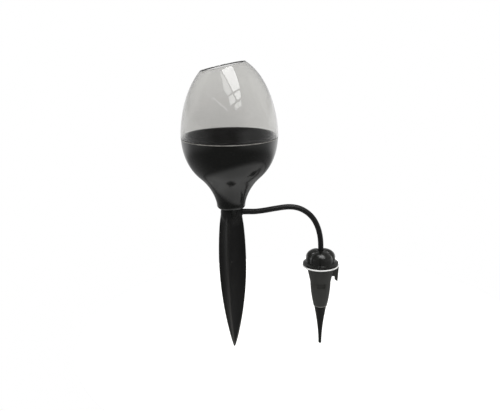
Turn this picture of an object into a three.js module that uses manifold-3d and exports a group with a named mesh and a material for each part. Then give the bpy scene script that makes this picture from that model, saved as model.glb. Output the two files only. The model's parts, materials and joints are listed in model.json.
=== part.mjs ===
// Plant water dripper: a clear-topped reservoir on a finned ground stake, which feeds an
// adjustable drip spike through a short hose. Millimetres, +Z up. The origin is on the stake's
// axis at the soil line, +X points to the drip spike and -Y is the front.

import * as THREE from 'three';
import { mergeVertices } from 'three/addons/utils/BufferGeometryUtils.js';
import Module from 'manifold-3d';

const wasm = await Module();
wasm.setup();

// Fits
const fitGap = 0.3; // between pieces that seat, slide or turn in one another

// Reservoir bowl, heights above the soil line
const seamHeight = 84; // seam between bowl and dome
const bowlRadius = 47.4; // at the seam
const bowlWall = 2.2;
const shoulderLength = 9.4; // how far the rim runs down nearly upright
const shoulderDraft = 0.6; // how far it leans in over that length
const bellyRadius = 30.2; // where the round belly turns into the flare
const bellyHeight = 44.4;
const bellySlope = 48.7; // degrees from upright
const bellyFullness = 19.5; // length of the belly's curve above that point
const flareFullness = 16.3; // length of the flare's curve below it
const neckWall = 5.7; // from the socket to the outside of the neck
const neckFoot = 3.7; // height of the neck's rounded foot
const neckStraight = 4; // nearly upright length of the neck
const collarLand = 1.9; // flat underside of the neck, beside the socket
const floorHeight = 30.5; // floor of the water space
const floorThickness = 2.5;
const outletRadius = 4; // hole in the floor
const lipWall = 2; // inner lip that stands up inside the dome
const lipGap = 1.5; // ring space between the lip and the dome
const lipGroove = 0.7; // depth of the seal's groove in the lip
const lipLand = 0.4; // height of the lip above and below the groove
const tongueWidth = 4; // locating tongue on the front of the neck
const tongueLength = 7.6;
const tongueThickness = 2;
const tongueAngle = 15; // degrees from the front towards the drip spike

// Clear dome
const domeOverhang = 0.2; // how far the dome stands out past the bowl
const eggDrop = 2; // widest place of the egg, below the seam
const domeRise = 79.5; // height of the full half egg above that place
const domeWall = 1.5;
const mouthDrop = 8.1; // slanted mouth on the axis, below the egg's crown
const mouthTilt = 11.5; // degrees, high side towards the drip spike

// Outlet strainer
const strainerWall = 1.2;
const strainerStep = 2.4; // how far it reaches out past the outlet
const strainerFoot = 2.6; // width of its foot
const strainerHeight = 7;
const strainerPlug = 2.2; // how far its plug reaches into the outlet
const strainerSlots = 8;
const strainerSlotWidth = 1.6;

// Ground stake
const headHeight = 12; // top of the round head
const headRound = 9; // above this height the head is round
const finStart = -8; // below this height the fins are full
const headStep = 0.6; // how far the fin edges stand out of the round head
const headLand = 2.7; // from the spigot to the fin edges, on top of the head
const finSpread = 1.3; // how much the fins widen over the head's height
const finRadius = 14.5; // at the widest place
const finWidest = 44; // depth of the widest place
const finUpperFullness = 26.4; // length of the fin's curve above that place
const finLowerFullness = 46.6; // and below it
const stakeDepth = 138.7; // tip of the stake below the soil line
const tipShoulderRadius = 3; // where the fins draw in to the tip
const tipShoulderLength = 5.1;
const tipFlat = 0.6; // radius of the blunt tip
const finEdge = 1.8; // thickness of a fin's edge at the widest place
const finHollow = 7.6; // from the axis to the hollow between two fins, there
const finTurn = 17; // degrees that the fins are turned from the front
const spigotRadius = 8.2;
const spigotChamfer = 1;
const waterBore = 3; // radius of the bore down the spigot
const ringGroove = 1.4; // depth of the groove for the spigot's ring
const ringRise = 8; // its height above the head

// Hose and its two ends
const hoseRadius = 2.75;
const hoseBore = 1.5;
const bossWall = 0.6; // wall of the boss round the hose
const bossLength = 0.5; // how far the boss stands out of the head
const barbInset = 0.2; // barb's foot from the wall of the water bore
const barbFoot = 2.5; // thickness of its foot
const barbWall = 0.6;
const barbLength = 6;

// Drip spike, depths below the top of its flange
const spikeReach = 90; // its axis from the stake's axis
const spikeDrop = 50.7; // its flange below the soil line
const flangeThickness = 1.2;
const flangeInset = 1.6; // how far the flange lies inside the cap's brim
const cupRadius = 13.9; // outside of the cup under the flange
const waistRadius = 10.4; // where the cup meets the round-sided body
const waistDepth = 17;
const bodyEndRadius = 6.8;
const bodyDepth = 43.4;
const bodyShoulder = 1.1; // how far the body runs straight below the waist
const bodyRound = 15; // length of the curve into its lower end
const bodyWall = 3;
const cupWall = 1.2; // from the cup's bore to the waist's radius
const seatDepth = 12.5; // ledge that the valve seat rests on
const ledgeWidth = 2;
const plugLength = 7.5; // tip's plug inside the body
const panelWidth = 8.6; // sunk bare panel on the front
const panelTop = 16.7;
const panelHeight = 5;
const panelSink = 2;

// Pot-rim hook, radii from the spike's axis
const hookWidth = 3.2;
const hookReach = 18.6;
const hookTaper = 1.2; // how much it draws in towards the prong's end
const notchDepth = 11.2; // top of the notch
const prongThickness = 2.8;
const prongLength = 5.6; // below the notch
const prongSlant = 2; // height between the prong's two corners

// Spike tip
const tipStep = 0.6; // how far it lies inside the body's lower end
const tipLength = 42.5;
const tipDraft = 1.6; // how much it narrows over the curve's first part
const tipCurveTop = 10;
const tipCurveEnd = 16;
const tipEndRadius = 1.6;
const dripBore = 1;
const dripOutletDepth = 16; // side outlets below the joint with the body
const dripOutletRadius = 0.8;

// Cap, its gasket and the metering valve
const gasketThickness = 1.2;
const gasketProud = 0.6; // how far the gasket shows past the brim
const brimRadius = 18;
const brimThickness = 2.9;
const crownRadius = 15;
const crownHeight = 10.5; // above the brim
const crownSide = 5.5; // upright part of that height
const crownTopRadius = 9.5; // circle along the top of the lobes
const crownDip = 0.5; // how far the middle of the top lies lower
const dipLand = 0.8; // flat ring round the hose
const lobes = 4;
const lobeCrease = 0.9; // depth of the narrow creases between the lobes
const creaseTurn = 45; // degrees from +X to one of them
const markWidth = 1; // setting mark, a groove down the crown and over the brim
const markDepth = 0.8;
const markTurn = -98; // degrees, a little left of the front
const skirtWall = 1.8;
const skirtLength = 7.8; // below the brim
const capRoof = 4.4; // thickness over the needle's collar
const collarThickness = 2;
const retainerThickness = 1;
const retainerGroove = 0.7;
const retainerWidth = 1.9;
const stemRadius = 2.2;
const needlePoint = 2.2; // length of the point inside the seat
const needleShoulder = 2.2; // length of its cone above the seat
const needleEnd = 0.5; // radius of its end
const needleRise = 1.5; // travel of the valve
const nippleLength = 8;
const seatThickness = 2.2;
const seatHole = 1.5;

// Roundness
const bigSides = 44;
const smallSides = 30;
const holeSides = 10;
const wireSides = 6;
const curveSteps = 6;
const cornerSteps = 4;

// Sizes that follow from the ones above
const domeRadius = bowlRadius + domeOverhang;
const domeBore = domeRadius - domeWall;
const eggHeight = seamHeight - eggDrop;
const mouthHeight = eggHeight + domeRise - mouthDrop;
const lipRadius = domeBore - lipGap;
const grooveHeight = lipGap + lipGroove;
const lipTop = seamHeight + 2 * lipLand + grooveHeight;
const sealHeight = (seamHeight + lipTop) / 2;
const socketRadius = spigotRadius + fitGap;
const socketTop = floorHeight - floorThickness;
const collarRadius = socketRadius + collarLand;
const neckRadius = socketRadius + neckWall;
const neckBottom = headHeight + fitGap;
const neckHeight = neckBottom + neckFoot;
const headFin = spigotRadius + headLand;
const hoseSocket = hoseRadius + fitGap;
const bossRadius = hoseSocket + bossWall;
const bossReach = headFin + bossLength;
const outletHeight = headHeight - bossRadius;
const barbRadius = hoseBore - fitGap;
const barbBore = barbRadius - barbWall;
const barbStart = waterBore + barbInset;
const hoseStart = barbStart + barbFoot + fitGap;
const flangeRadius = brimRadius - flangeInset;
const cupBore = waistRadius - cupWall;
const ledgeRadius = cupBore - ledgeWidth;
const tipBore = bodyEndRadius - bodyWall;
const prongOuter = hookReach - hookTaper;
const prongInner = prongOuter - prongThickness;
const skirtRadius = cupBore - fitGap;
const skirtBore = skirtRadius - skirtWall;
const brimBottom = gasketThickness + 2 * fitGap;
const brimTop = brimBottom + brimThickness;
const crownTop = brimTop + crownHeight;
const dipRadius = hoseSocket + dipLand;
const chamberTop = crownTop - crownDip - capRoof;
const collarTop = chamberTop - fitGap;
const collarBottom = collarTop - collarThickness;
const seatBottom = fitGap - seatDepth;
const seatTop = seatBottom + seatThickness;
const hoseEnd = collarTop + needleRise + fitGap;

// Hose route in the X-Z plane, from inside the boss to inside the cap
const hoseRoute = [
  [hoseStart, outletHeight],
  [12, outletHeight],
  [17, 8.3],
  [23, 8.2],
  [29, 8.7],
  [35, 9.5],
  [41, 10.5],
  [47, 11.4],
  [53, 12.2],
  [59, 12.4],
  [64.5, 11.7],
  [69.5, 10.1],
  [74, 7.6],
  [78, 4.5],
  [81.5, 0.6],
  [84.5, -4.2],
  [86.9, -9.8],
  [88.6, -16],
  [89.6, -22.4],
  [spikeReach, -29],
  [spikeReach, hoseEnd - spikeDrop],
];

const { degToRad, lerp, radToDeg, smoothstep } = THREE.MathUtils;

// Closed geometry with shared corners, without the flat triangles at a revolve's poles
function weld(geometry) {
  const bare = geometry.clone();
  bare.deleteAttribute('normal');
  bare.deleteAttribute('uv');
  const merged = mergeVertices(bare, 1e-4);
  const corners = merged.index.array;
  const kept = [];
  for (let i = 0; i < corners.length; i += 3) {
    const [a, b, c] = corners.slice(i, i + 3);
    if (a !== b && b !== c && c !== a) {
      kept.push(a, b, c);
    }
  }
  merged.setIndex(kept);
  return merged;
}

function solid(geometry) {
  const closed = weld(geometry);
  return new wasm.Manifold(
    new wasm.Mesh({
      numProp: 3,
      vertProperties: new Float32Array(closed.attributes.position.array),
      triVerts: new Uint32Array(closed.index.array),
    }),
  );
}

function skin(body) {
  const mesh = body.getMesh();
  const geometry = new THREE.BufferGeometry();
  geometry.setAttribute('position', new THREE.BufferAttribute(mesh.vertProperties, 3));
  geometry.setIndex(new THREE.BufferAttribute(mesh.triVerts, 1));
  return geometry;
}

function join(first, ...others) {
  return skin(others.reduce((whole, other) => whole.add(solid(other)), solid(first)));
}

function cut(first, ...others) {
  return skin(others.reduce((whole, other) => whole.subtract(solid(other)), solid(first)));
}

// Revolve of a radius and height outline about Z, listed up the outside and down the inside
function revolve(outline, sides) {
  const profile = outline.map(([radius, height]) => new THREE.Vector2(radius, height));
  const geometry = new THREE.LatheGeometry(profile, sides);
  geometry.rotateX(Math.PI / 2);
  return geometry;
}

function ring(inner, outer, low, high) {
  const outline = [
    [inner, low],
    [outer, low],
    [outer, high],
    [inner, high],
    [inner, low],
  ];
  return revolve(outline, smallSides);
}

function rod(radius, low, high, sides) {
  const outline = [
    [0, low],
    [radius, low],
    [radius, high],
    [0, high],
  ];
  return revolve(outline, sides);
}

// Turns a revolve's axis to +X and lifts it to a height
function layOnSide(geometry, height) {
  geometry.rotateY(Math.PI / 2);
  geometry.translate(0, 0, height);
  return geometry;
}

// Ring of round wire that fills the space between two radii
function wireRing(inner, outer, height, sides) {
  const middle = (inner + outer) / 2;
  const half = (outer - inner) / 2;
  return revolve(arc([middle, height], half, half, 0, 360, wireSides), sides);
}

// Points of a cubic curve, given as radius and height pairs
function curve(start, startPull, endPull, end) {
  const points = [start, startPull, endPull, end].map(([r, z]) => new THREE.Vector2(r, z));
  const cubic = new THREE.CubicBezierCurve(...points);
  return cubic.getPoints(curveSteps).map((point) => [point.x, point.y]);
}

// Points of an ellipse about a centre, between two angles in degrees
function arc(centre, across, up, from, to, steps) {
  const points = [];
  for (let i = 0; i <= steps; i += 1) {
    const turn = degToRad(lerp(from, to, i / steps));
    points.push([centre[0] + across * Math.cos(turn), centre[1] + up * Math.sin(turn)]);
  }
  return points;
}

// Outline moved by a wall thickness, to the left of its direction of travel
function inset(outline, wall) {
  return outline.map(([radius, height], i) => {
    const before = outline[Math.max(i - 1, 0)];
    const after = outline[Math.min(i + 1, outline.length - 1)];
    const along = new THREE.Vector2(after[0] - before[0], after[1] - before[1]).normalize();
    return [radius - wall * along.y, height + wall * along.x];
  });
}

// Radius of a climbing outline at a height
function radiusAt(outline, height) {
  const above = outline.findIndex((point) => point[1] >= height);
  const [lowRadius, low] = outline[above - 1];
  const [highRadius, high] = outline[above];
  return lerp(lowRadius, highRadius, (height - low) / (high - low));
}

// Skin over rings of points, listed upwards and anticlockwise from above, closed on the axis
function loft(rings) {
  const count = rings[0].length;
  const corners = rings.flat();
  const faces = [];
  for (let level = 0; level < rings.length - 1; level += 1) {
    for (let i = 0; i < count; i += 1) {
      const a = level * count + i;
      const b = level * count + ((i + 1) % count);
      faces.push(a, b, b + count, a, b + count, a + count);
    }
  }
  const bottom = corners.length;
  const top = bottom + 1;
  const last = (rings.length - 1) * count;
  corners.push(new THREE.Vector3(0, 0, rings[0][0].z));
  corners.push(new THREE.Vector3(0, 0, rings[rings.length - 1][0].z));
  for (let i = 0; i < count; i += 1) {
    const next = (i + 1) % count;
    faces.push(bottom, next, i, top, last + i, last + next);
  }
  const geometry = new THREE.BufferGeometry().setFromPoints(corners);
  geometry.setIndex(faces);
  return geometry;
}

function onCircle(radius, angle, height) {
  return new THREE.Vector3(radius * Math.cos(angle), radius * Math.sin(angle), height);
}

function piece(name, geometry, color, roughness, opacity = 1) {
  const transparent = opacity < 1;
  const finish = { color, roughness, metalness: 0, opacity, transparent };
  const mesh = new THREE.Mesh(weld(geometry), new THREE.MeshStandardMaterial(finish));
  mesh.geometry.computeVertexNormals();
  mesh.name = name;
  return mesh;
}

// Outside of the bowl from the neck up to the seam
function bowlOutline() {
  const slope = degToRad(bellySlope);
  const belly = [bellyRadius, bellyHeight];
  const below = [
    bellyRadius - flareFullness * Math.sin(slope),
    bellyHeight - flareFullness * Math.cos(slope),
  ];
  const above = [
    bellyRadius + bellyFullness * Math.sin(slope),
    bellyHeight + bellyFullness * Math.cos(slope),
  ];
  const shoulder = [bowlRadius - shoulderDraft, seamHeight - shoulderLength];
  const neckPull = [neckRadius, neckHeight + neckStraight];
  const flare = curve([neckRadius, neckHeight], neckPull, below, belly);
  const round = curve(belly, above, shoulder, [bowlRadius, seamHeight]);
  return [...flare, ...round.slice(1)];
}

// Tongue in place on the neck, made larger by a clearance where it cuts its slot
function tongue(clearance) {
  const low = neckBottom - tongueLength - clearance;
  const high = neckHeight;
  const thickness = tongueThickness + 2 * clearance;
  const width = tongueWidth + 2 * clearance;
  const geometry = new THREE.BoxGeometry(thickness, width, high - low);
  geometry.translate(collarRadius - tongueThickness / 2 + fitGap, 0, (low + high) / 2);
  geometry.rotateZ(degToRad(tongueAngle - 90));
  return geometry;
}

function reservoirBowl() {
  const outside = bowlOutline();
  const wall = inset(outside, bowlWall);
  const foot = arc([collarRadius, neckHeight], neckWall - collarLand, neckFoot, -90, 0, cornerSteps);
  const lipBore = lipRadius - lipWall;
  const inside = wall.filter(([radius, height]) => height > floorHeight && radius < lipBore);
  const grooveBottom = sealHeight - grooveHeight / 2;
  const grooveTop = sealHeight + grooveHeight / 2;
  const outline = [
    [socketRadius, neckBottom],
    ...foot.slice(0, -1),
    ...outside,
    [lipRadius, seamHeight],
    [lipRadius, grooveBottom],
    [lipRadius - lipGroove, grooveBottom],
    [lipRadius - lipGroove, grooveTop],
    [lipRadius, grooveTop],
    [lipRadius, lipTop],
    [lipBore, lipTop],
    ...inside.reverse(),
    [radiusAt(wall, floorHeight), floorHeight],
    [outletRadius, floorHeight],
    [outletRadius, socketTop],
    [socketRadius, socketTop],
    [socketRadius, neckBottom],
  ];
  return join(revolve(outline, bigSides), tongue(0));
}

// Half egg over the bowl, cut off by the slanted mouth
function clearDome() {
  const foot = eggDrop + fitGap;
  const centre = [0, eggHeight];
  const boreRise = domeRise - domeWall;
  const outerFoot = radToDeg(Math.asin(foot / domeRise));
  const boreFoot = radToDeg(Math.asin(foot / boreRise));
  const nearlyTop = 86;
  const steps = 2 * curveSteps;
  const outer = arc(centre, domeRadius, domeRise, outerFoot, nearlyTop, steps);
  const bore = arc(centre, domeBore, boreRise, nearlyTop, boreFoot, steps);
  const outline = [...outer, ...bore, outer[0]];
  const mouth = new THREE.BoxGeometry(4 * domeRadius, 4 * domeRadius, domeRise);
  mouth.translate(0, 0, domeRise / 2);
  mouth.rotateY(-degToRad(mouthTilt));
  mouth.translate(0, 0, mouthHeight);
  return cut(revolve(outline, bigSides), mouth);
}

function domeSeal() {
  const inner = lipRadius - lipGroove + fitGap;
  return wireRing(inner, domeBore - fitGap, sealHeight, bigSides);
}

// Slotted thimble over the outlet, with a plug in the hole
function outletStrainer() {
  const foot = floorHeight + fitGap;
  const top = foot + strainerHeight;
  const outer = outletRadius + strainerStep;
  const inner = outer - strainerWall;
  const rim = outer + strainerFoot;
  const plug = outletRadius - fitGap;
  const plugBore = plug - strainerWall;
  const outline = [
    [plugBore, foot - strainerPlug],
    [plug, foot - strainerPlug],
    [plug, foot],
    [rim, foot],
    [rim, foot + strainerWall],
    [outer, foot + strainerWall],
    [outer, top - strainerWall],
    [inner, top],
    [0, top],
    [0, top - strainerWall],
    [inner, top - strainerWall],
    [inner, foot + strainerWall],
    [plugBore, foot + strainerWall],
    [plugBore, foot - strainerPlug],
  ];
  const slotLow = foot + 2 * strainerWall;
  const slotHigh = top - 2 * strainerWall;
  const slots = [];
  for (let i = 0; i < strainerSlots; i += 1) {
    const slot = new THREE.BoxGeometry(2 * strainerWall, strainerSlotWidth, slotHigh - slotLow);
    slot.translate((inner + outer) / 2, 0, (slotLow + slotHigh) / 2);
    slot.rotateZ((2 * Math.PI * i) / strainerSlots);
    slots.push(slot);
  }
  return cut(revolve(outline, smallSides), ...slots);
}

// Reach of the fins up the stake, from the tip to the top of the head
function finOutline() {
  const tip = [tipFlat, -stakeDepth];
  const tipPull = [tipShoulderRadius, -stakeDepth + tipShoulderLength];
  const widest = [finRadius, -finWidest];
  const lowerPull = [finRadius, -finWidest - finLowerFullness];
  const upperPull = [finRadius, -finWidest + finUpperFullness];
  const headPull = [headFin + finSpread, 0];
  const head = [headFin, headHeight];
  const lower = curve(tip, tipPull, lowerPull, widest);
  const upper = curve(widest, upperPull, headPull, head);
  return [...lower, ...upper.slice(1)];
}

// Quarter of the four-finned section at the widest place, hollowed from one fin's edge to the next
function finQuarter() {
  const half = finEdge / 2;
  const pull = Math.SQRT2 * finHollow - (finRadius + half) / 2;
  const flank = new THREE.QuadraticBezierCurve(
    new THREE.Vector2(finRadius, half),
    new THREE.Vector2(pull, pull),
    new THREE.Vector2(half, finRadius),
  );
  return flank.getPoints(2 * cornerSteps).map((point) => [point.x, point.y]);
}

// Section of the stake at a height: finned below, and round in the head
function stakeRing(reach, height) {
  const roundness = smoothstep(height, finStart, headRound);
  const points = [];
  for (let fin = 0; fin < 4; fin += 1) {
    for (const [x, y] of finQuarter()) {
      const finned = (Math.hypot(x, y) * reach) / finRadius;
      const radius = lerp(finned, reach - headStep, roundness);
      const angle = Math.atan2(y, x) + (Math.PI / 2) * fin - degToRad(finTurn);
      points.push(onCircle(radius, angle, height));
    }
  }
  return points;
}

function stake() {
  const blade = loft(finOutline().map(([reach, height]) => stakeRing(reach, height)));
  const top = socketTop - fitGap;
  const ringHeight = headHeight + ringRise;
  const grooveHalf = (ringGroove + fitGap) / 2;
  const spigot = revolve(
    [
      [0, headHeight - spigotChamfer],
      [spigotRadius, headHeight - spigotChamfer],
      [spigotRadius, ringHeight - grooveHalf],
      [spigotRadius - ringGroove, ringHeight - grooveHalf],
      [spigotRadius - ringGroove, ringHeight + grooveHalf],
      [spigotRadius, ringHeight + grooveHalf],
      [spigotRadius, top - spigotChamfer],
      [spigotRadius - spigotChamfer, top],
      [0, top],
    ],
    smallSides,
  );
  const boss = layOnSide(rod(bossRadius, waterBore, bossReach, smallSides), outletHeight);
  const bore = rod(waterBore, outletHeight - bossRadius, top + fitGap, smallSides);
  const outlet = layOnSide(rod(hoseSocket, 0, bossReach + fitGap, smallSides), outletHeight);
  return cut(join(blade, spigot, boss), bore, outlet, tongue(fitGap));
}

function spigotRing() {
  const inner = spigotRadius - ringGroove + fitGap / 2;
  return wireRing(inner, socketRadius - fitGap / 2, headHeight + ringRise, smallSides);
}

// Hose nipple with its foot in the outlet and its spout inside the hose
function tubeBarb() {
  const footEnd = barbStart + barbFoot;
  const spoutEnd = hoseStart + barbLength;
  const outline = [
    [barbBore, barbStart],
    [hoseRadius, barbStart],
    [hoseRadius, footEnd],
    [barbRadius, footEnd],
    [barbRadius, spoutEnd],
    [barbBore, spoutEnd],
    [barbBore, barbStart],
  ];
  return layOnSide(revolve(outline, holeSides), outletHeight);
}

function dripTube() {
  const section = new THREE.Shape().absarc(0, 0, hoseRadius, 0, 2 * Math.PI, false);
  section.holes.push(new THREE.Path().absarc(0, 0, hoseBore, 0, 2 * Math.PI, true));
  const points = hoseRoute.map(([x, z]) => new THREE.Vector3(x, 0, z));
  return new THREE.ExtrudeGeometry(section, {
    steps: hoseRoute.length,
    curveSegments: holeSides / 2,
    extrudePath: new THREE.CatmullRomCurve3(points),
  });
}

// Outside of the cone body, from its lower end up to the flange
function bodyOutline() {
  const end = [bodyEndRadius, -bodyDepth];
  const endPull = [waistRadius, -bodyDepth + bodyRound];
  const waistPull = [waistRadius, -waistDepth - bodyShoulder];
  const waist = [waistRadius, -waistDepth];
  return [...curve(end, endPull, waistPull, waist), [cupRadius, -flangeThickness]];
}

// Plate with a notch and a prong that hooks over a pot's rim
function rimHook() {
  const root = (cupBore + waistRadius) / 2;
  const top = -flangeThickness / 2;
  const outline = [
    [root, top],
    [root, -notchDepth],
    [prongInner, -notchDepth],
    [prongInner, prongSlant - notchDepth - prongLength],
    [prongOuter, -notchDepth - prongLength],
    [hookReach, -flangeThickness],
    [hookReach, top],
  ];
  const plate = new THREE.Shape(outline.map(([radius, z]) => new THREE.Vector2(radius, z)));
  const geometry = new THREE.ExtrudeGeometry(plate, { depth: hookWidth, bevelEnabled: false });
  geometry.translate(0, 0, -hookWidth / 2);
  geometry.rotateX(Math.PI / 2);
  return geometry;
}

function coneBody() {
  const outside = bodyOutline();
  const plugTop = plugLength - bodyDepth;
  const inside = inset(outside, bodyWall).filter(
    ([radius, depth]) => depth > plugTop && radius > tipBore && radius < ledgeRadius,
  );
  const shell = revolve(
    [
      [tipBore, -bodyDepth],
      ...outside,
      [flangeRadius, -flangeThickness],
      [flangeRadius, 0],
      [cupBore, 0],
      [cupBore, -seatDepth],
      [ledgeRadius, -seatDepth],
      ...inside.reverse(),
      [tipBore, plugTop],
      [tipBore, -bodyDepth],
    ],
    smallSides,
  );
  const panel = new THREE.BoxGeometry(panelWidth, waistRadius, panelHeight);
  panel.translate(0, panelSink - 1.5 * waistRadius, -panelTop - panelHeight / 2);
  return cut(join(shell, rimHook()), panel);
}

function spikeTip() {
  const joint = -bodyDepth - fitGap;
  const tipRadius = bodyEndRadius - tipStep;
  const noseHeight = joint - tipLength + tipEndRadius;
  const plug = tipBore - fitGap;
  const plugTop = plugLength - bodyDepth - fitGap;
  const nose = arc([0, noseHeight], tipEndRadius, tipEndRadius, -90, 0, cornerSteps);
  const side = curve(
    [tipEndRadius, noseHeight],
    [tipEndRadius, noseHeight + tipCurveEnd],
    [tipRadius - tipDraft, joint - tipCurveTop],
    [tipRadius, joint],
  );
  const outline = [...nose.slice(0, -1), ...side, [plug, joint], [plug, plugTop], [0, plugTop]];
  const outlet = joint - dripOutletDepth;
  const bore = rod(dripBore, outlet - dripOutletRadius, plugTop + fitGap, holeSides);
  const across = layOnSide(rod(dripOutletRadius, -tipRadius, tipRadius, holeSides), outlet);
  return cut(revolve(outline, smallSides), bore, across);
}

function capGasket() {
  const outer = brimRadius + gasketProud;
  return ring(cupBore + fitGap, outer, fitGap, fitGap + gasketThickness);
}

// One ring of the lobed crown, drawn in at the creases between the lobes
function crownRing(radius, height) {
  const lobePoints = 12;
  const count = lobes * lobePoints;
  const points = [];
  for (let i = 0; i < count; i += 1) {
    const turn = (2 * Math.PI * i) / count;
    const crease = (1 - Math.abs(Math.sin((turn * lobes) / 2))) ** 4;
    const reach = radius - (crease * lobeCrease * radius) / crownRadius;
    points.push(onCircle(reach, turn + degToRad(creaseTurn), height));
  }
  return points;
}

function lobedCrown() {
  const sideTop = brimTop + crownSide;
  const round = [crownRadius - crownTopRadius, crownTop - sideTop];
  const dip = [crownTopRadius - dipRadius, crownDip];
  const outline = [
    [crownRadius, brimTop - brimThickness / 2],
    ...arc([crownTopRadius, sideTop], ...round, 0, 90, cornerSteps + 1),
    ...arc([crownTopRadius, crownTop - crownDip], ...dip, 90, 180, cornerSteps).slice(1),
  ];
  return loft(outline.map(([radius, height]) => crownRing(radius, height)));
}

function settingMark() {
  const inner = crownRadius - markDepth;
  const low = brimTop - markDepth;
  const geometry = new THREE.BoxGeometry(brimRadius - inner, markWidth, crownTop - low);
  geometry.translate((inner + brimRadius) / 2, 0, (low + crownTop) / 2);
  geometry.rotateZ(degToRad(markTurn));
  return geometry;
}

function dripCap() {
  const lip = brimThickness / 2;
  const edge = arc([brimRadius - lip, brimBottom + lip], lip, lip, -90, 90, cornerSteps);
  const brim = revolve([[0, brimBottom], ...edge, [0, brimTop]], smallSides);
  const skirtEnd = brimBottom - skirtLength;
  const skirt = rod(skirtRadius, skirtEnd, brimTop, smallSides);
  const chamber = rod(skirtBore, skirtEnd - fitGap, chamberTop, smallSides);
  const socket = rod(hoseSocket, chamberTop - fitGap, crownTop, holeSides);
  const grooveLow = collarBottom - retainerThickness - 2 * fitGap;
  const groove = rod(skirtBore + retainerGroove, grooveLow, collarBottom, smallSides);
  return cut(join(brim, lobedCrown(), skirt), chamber, socket, groove, settingMark());
}

function needleRetainer() {
  const top = collarBottom - fitGap;
  const outer = skirtBore + retainerGroove - fitGap;
  return ring(outer - retainerWidth, outer, top - retainerThickness, top);
}

// Nipple, collar and metering pin in one piece, with a water way from the nipple to its side
function valveNeedle() {
  const nippleTop = collarTop + nippleLength;
  const collarRim = skirtBore - fitGap;
  const outline = [
    [0, seatTop - needlePoint],
    [needleEnd, seatTop - needlePoint],
    [seatHole - fitGap, seatTop],
    [stemRadius, seatTop + needleShoulder],
    [stemRadius, collarBottom],
    [collarRim, collarBottom],
    [collarRim, collarTop],
    [barbRadius, collarTop],
    [barbRadius, nippleTop],
    [0, nippleTop],
  ];
  const wayOut = collarBottom - 2 * retainerThickness - stemRadius;
  const bore = rod(barbBore, wayOut, nippleTop + fitGap, holeSides);
  const across = layOnSide(rod(barbBore, -2 * stemRadius, 2 * stemRadius, holeSides), wayOut);
  return cut(revolve(outline, smallSides), bore, across);
}

function valveSeat() {
  return ring(seatHole, cupBore - fitGap, seatBottom, seatTop);
}

const glossBlack = 0x1d1e1d;
const satinBlack = 0x222222;
const hoseBlack = 0x242424;
const coneGrey = 0x35342f;
const rubberBlack = 0x161616;
const sealWhite = 0xf4f4f1;
const naturalPlastic = 0xe6e5e0;
const clearGrey = 0xd9d8d3;

const spike = new THREE.Group();
spike.position.set(spikeReach, 0, -spikeDrop);
spike.add(piece('drip_cap', dripCap(), glossBlack, 0.2));
spike.add(piece('cap_gasket', capGasket(), sealWhite, 0.45));
spike.add(piece('valve_needle', valveNeedle(), naturalPlastic, 0.4));
spike.add(piece('needle_retainer', needleRetainer(), satinBlack, 0.5));
spike.add(piece('valve_seat', valveSeat(), rubberBlack, 0.7));
spike.add(piece('cone_body', coneBody(), coneGrey, 0.6));
spike.add(piece('spike_tip', spikeTip(), satinBlack, 0.5));

const dripper = new THREE.Group();
dripper.add(piece('clear_dome', clearDome(), clearGrey, 0.06, 0.35));
dripper.add(piece('dome_seal', domeSeal(), rubberBlack, 0.7));
dripper.add(piece('reservoir_bowl', reservoirBowl(), glossBlack, 0.22));
dripper.add(piece('outlet_strainer', outletStrainer(), satinBlack, 0.5));
dripper.add(piece('stake', stake(), satinBlack, 0.42));
dripper.add(piece('spigot_o_ring', spigotRing(), rubberBlack, 0.7));
dripper.add(piece('tube_barb', tubeBarb(), satinBlack, 0.5));
dripper.add(piece('drip_tube', dripTube(), hoseBlack, 0.5));
dripper.add(spike);

export default dripper;
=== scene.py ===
"""Plant water dripper, dressed over its CAD frame.

Everything is in metres in the CAD's own frame: the origin is on the stake's axis at the soil line,
+Z is up, +X points to the drip spike and -Y is the front.
"""

import json
import math
from contextlib import contextmanager

import bmesh
import bpy
from bpy.props import FloatProperty, FloatVectorProperty, IntProperty, PointerProperty
from bpy.types import Operator, Panel, PropertyGroup
from mathutils import Matrix, Vector
from mathutils.geometry import interpolate_bezier


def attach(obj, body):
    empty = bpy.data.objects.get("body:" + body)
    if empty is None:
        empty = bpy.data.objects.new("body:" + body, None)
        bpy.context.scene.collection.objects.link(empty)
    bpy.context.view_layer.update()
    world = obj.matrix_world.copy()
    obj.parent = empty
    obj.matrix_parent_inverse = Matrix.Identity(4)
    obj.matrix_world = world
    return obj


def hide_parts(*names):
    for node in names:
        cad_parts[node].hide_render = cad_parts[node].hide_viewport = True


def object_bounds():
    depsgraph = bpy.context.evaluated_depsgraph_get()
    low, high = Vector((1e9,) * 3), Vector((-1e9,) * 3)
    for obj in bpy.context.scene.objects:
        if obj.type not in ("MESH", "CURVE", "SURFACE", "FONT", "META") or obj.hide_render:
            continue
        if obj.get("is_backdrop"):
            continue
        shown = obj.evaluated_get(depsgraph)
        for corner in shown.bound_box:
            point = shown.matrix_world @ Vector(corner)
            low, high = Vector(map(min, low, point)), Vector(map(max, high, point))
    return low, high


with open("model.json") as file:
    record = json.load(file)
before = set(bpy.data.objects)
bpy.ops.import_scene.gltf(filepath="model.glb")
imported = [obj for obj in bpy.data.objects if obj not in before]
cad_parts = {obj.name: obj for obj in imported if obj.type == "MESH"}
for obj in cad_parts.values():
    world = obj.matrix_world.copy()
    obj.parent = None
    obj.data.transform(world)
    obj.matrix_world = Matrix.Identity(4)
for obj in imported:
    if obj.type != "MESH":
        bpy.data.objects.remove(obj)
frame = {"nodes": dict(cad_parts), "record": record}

bl_info = {
    "name": "Plant water dripper",
    "version": (1, 0, 0),
    "blender": (4, 5, 0),
    "location": "3D View > Sidebar > Dripper",
    "description": "Models a plant water dripper piece by piece over its CAD frame",
    "category": "Object",
}

MM = 0.001
STAKE_AXIS = Vector((0, 0, 0))
BLACK = (0, 0, 0, 1)
WHITE = (1, 1, 1, 1)

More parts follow.
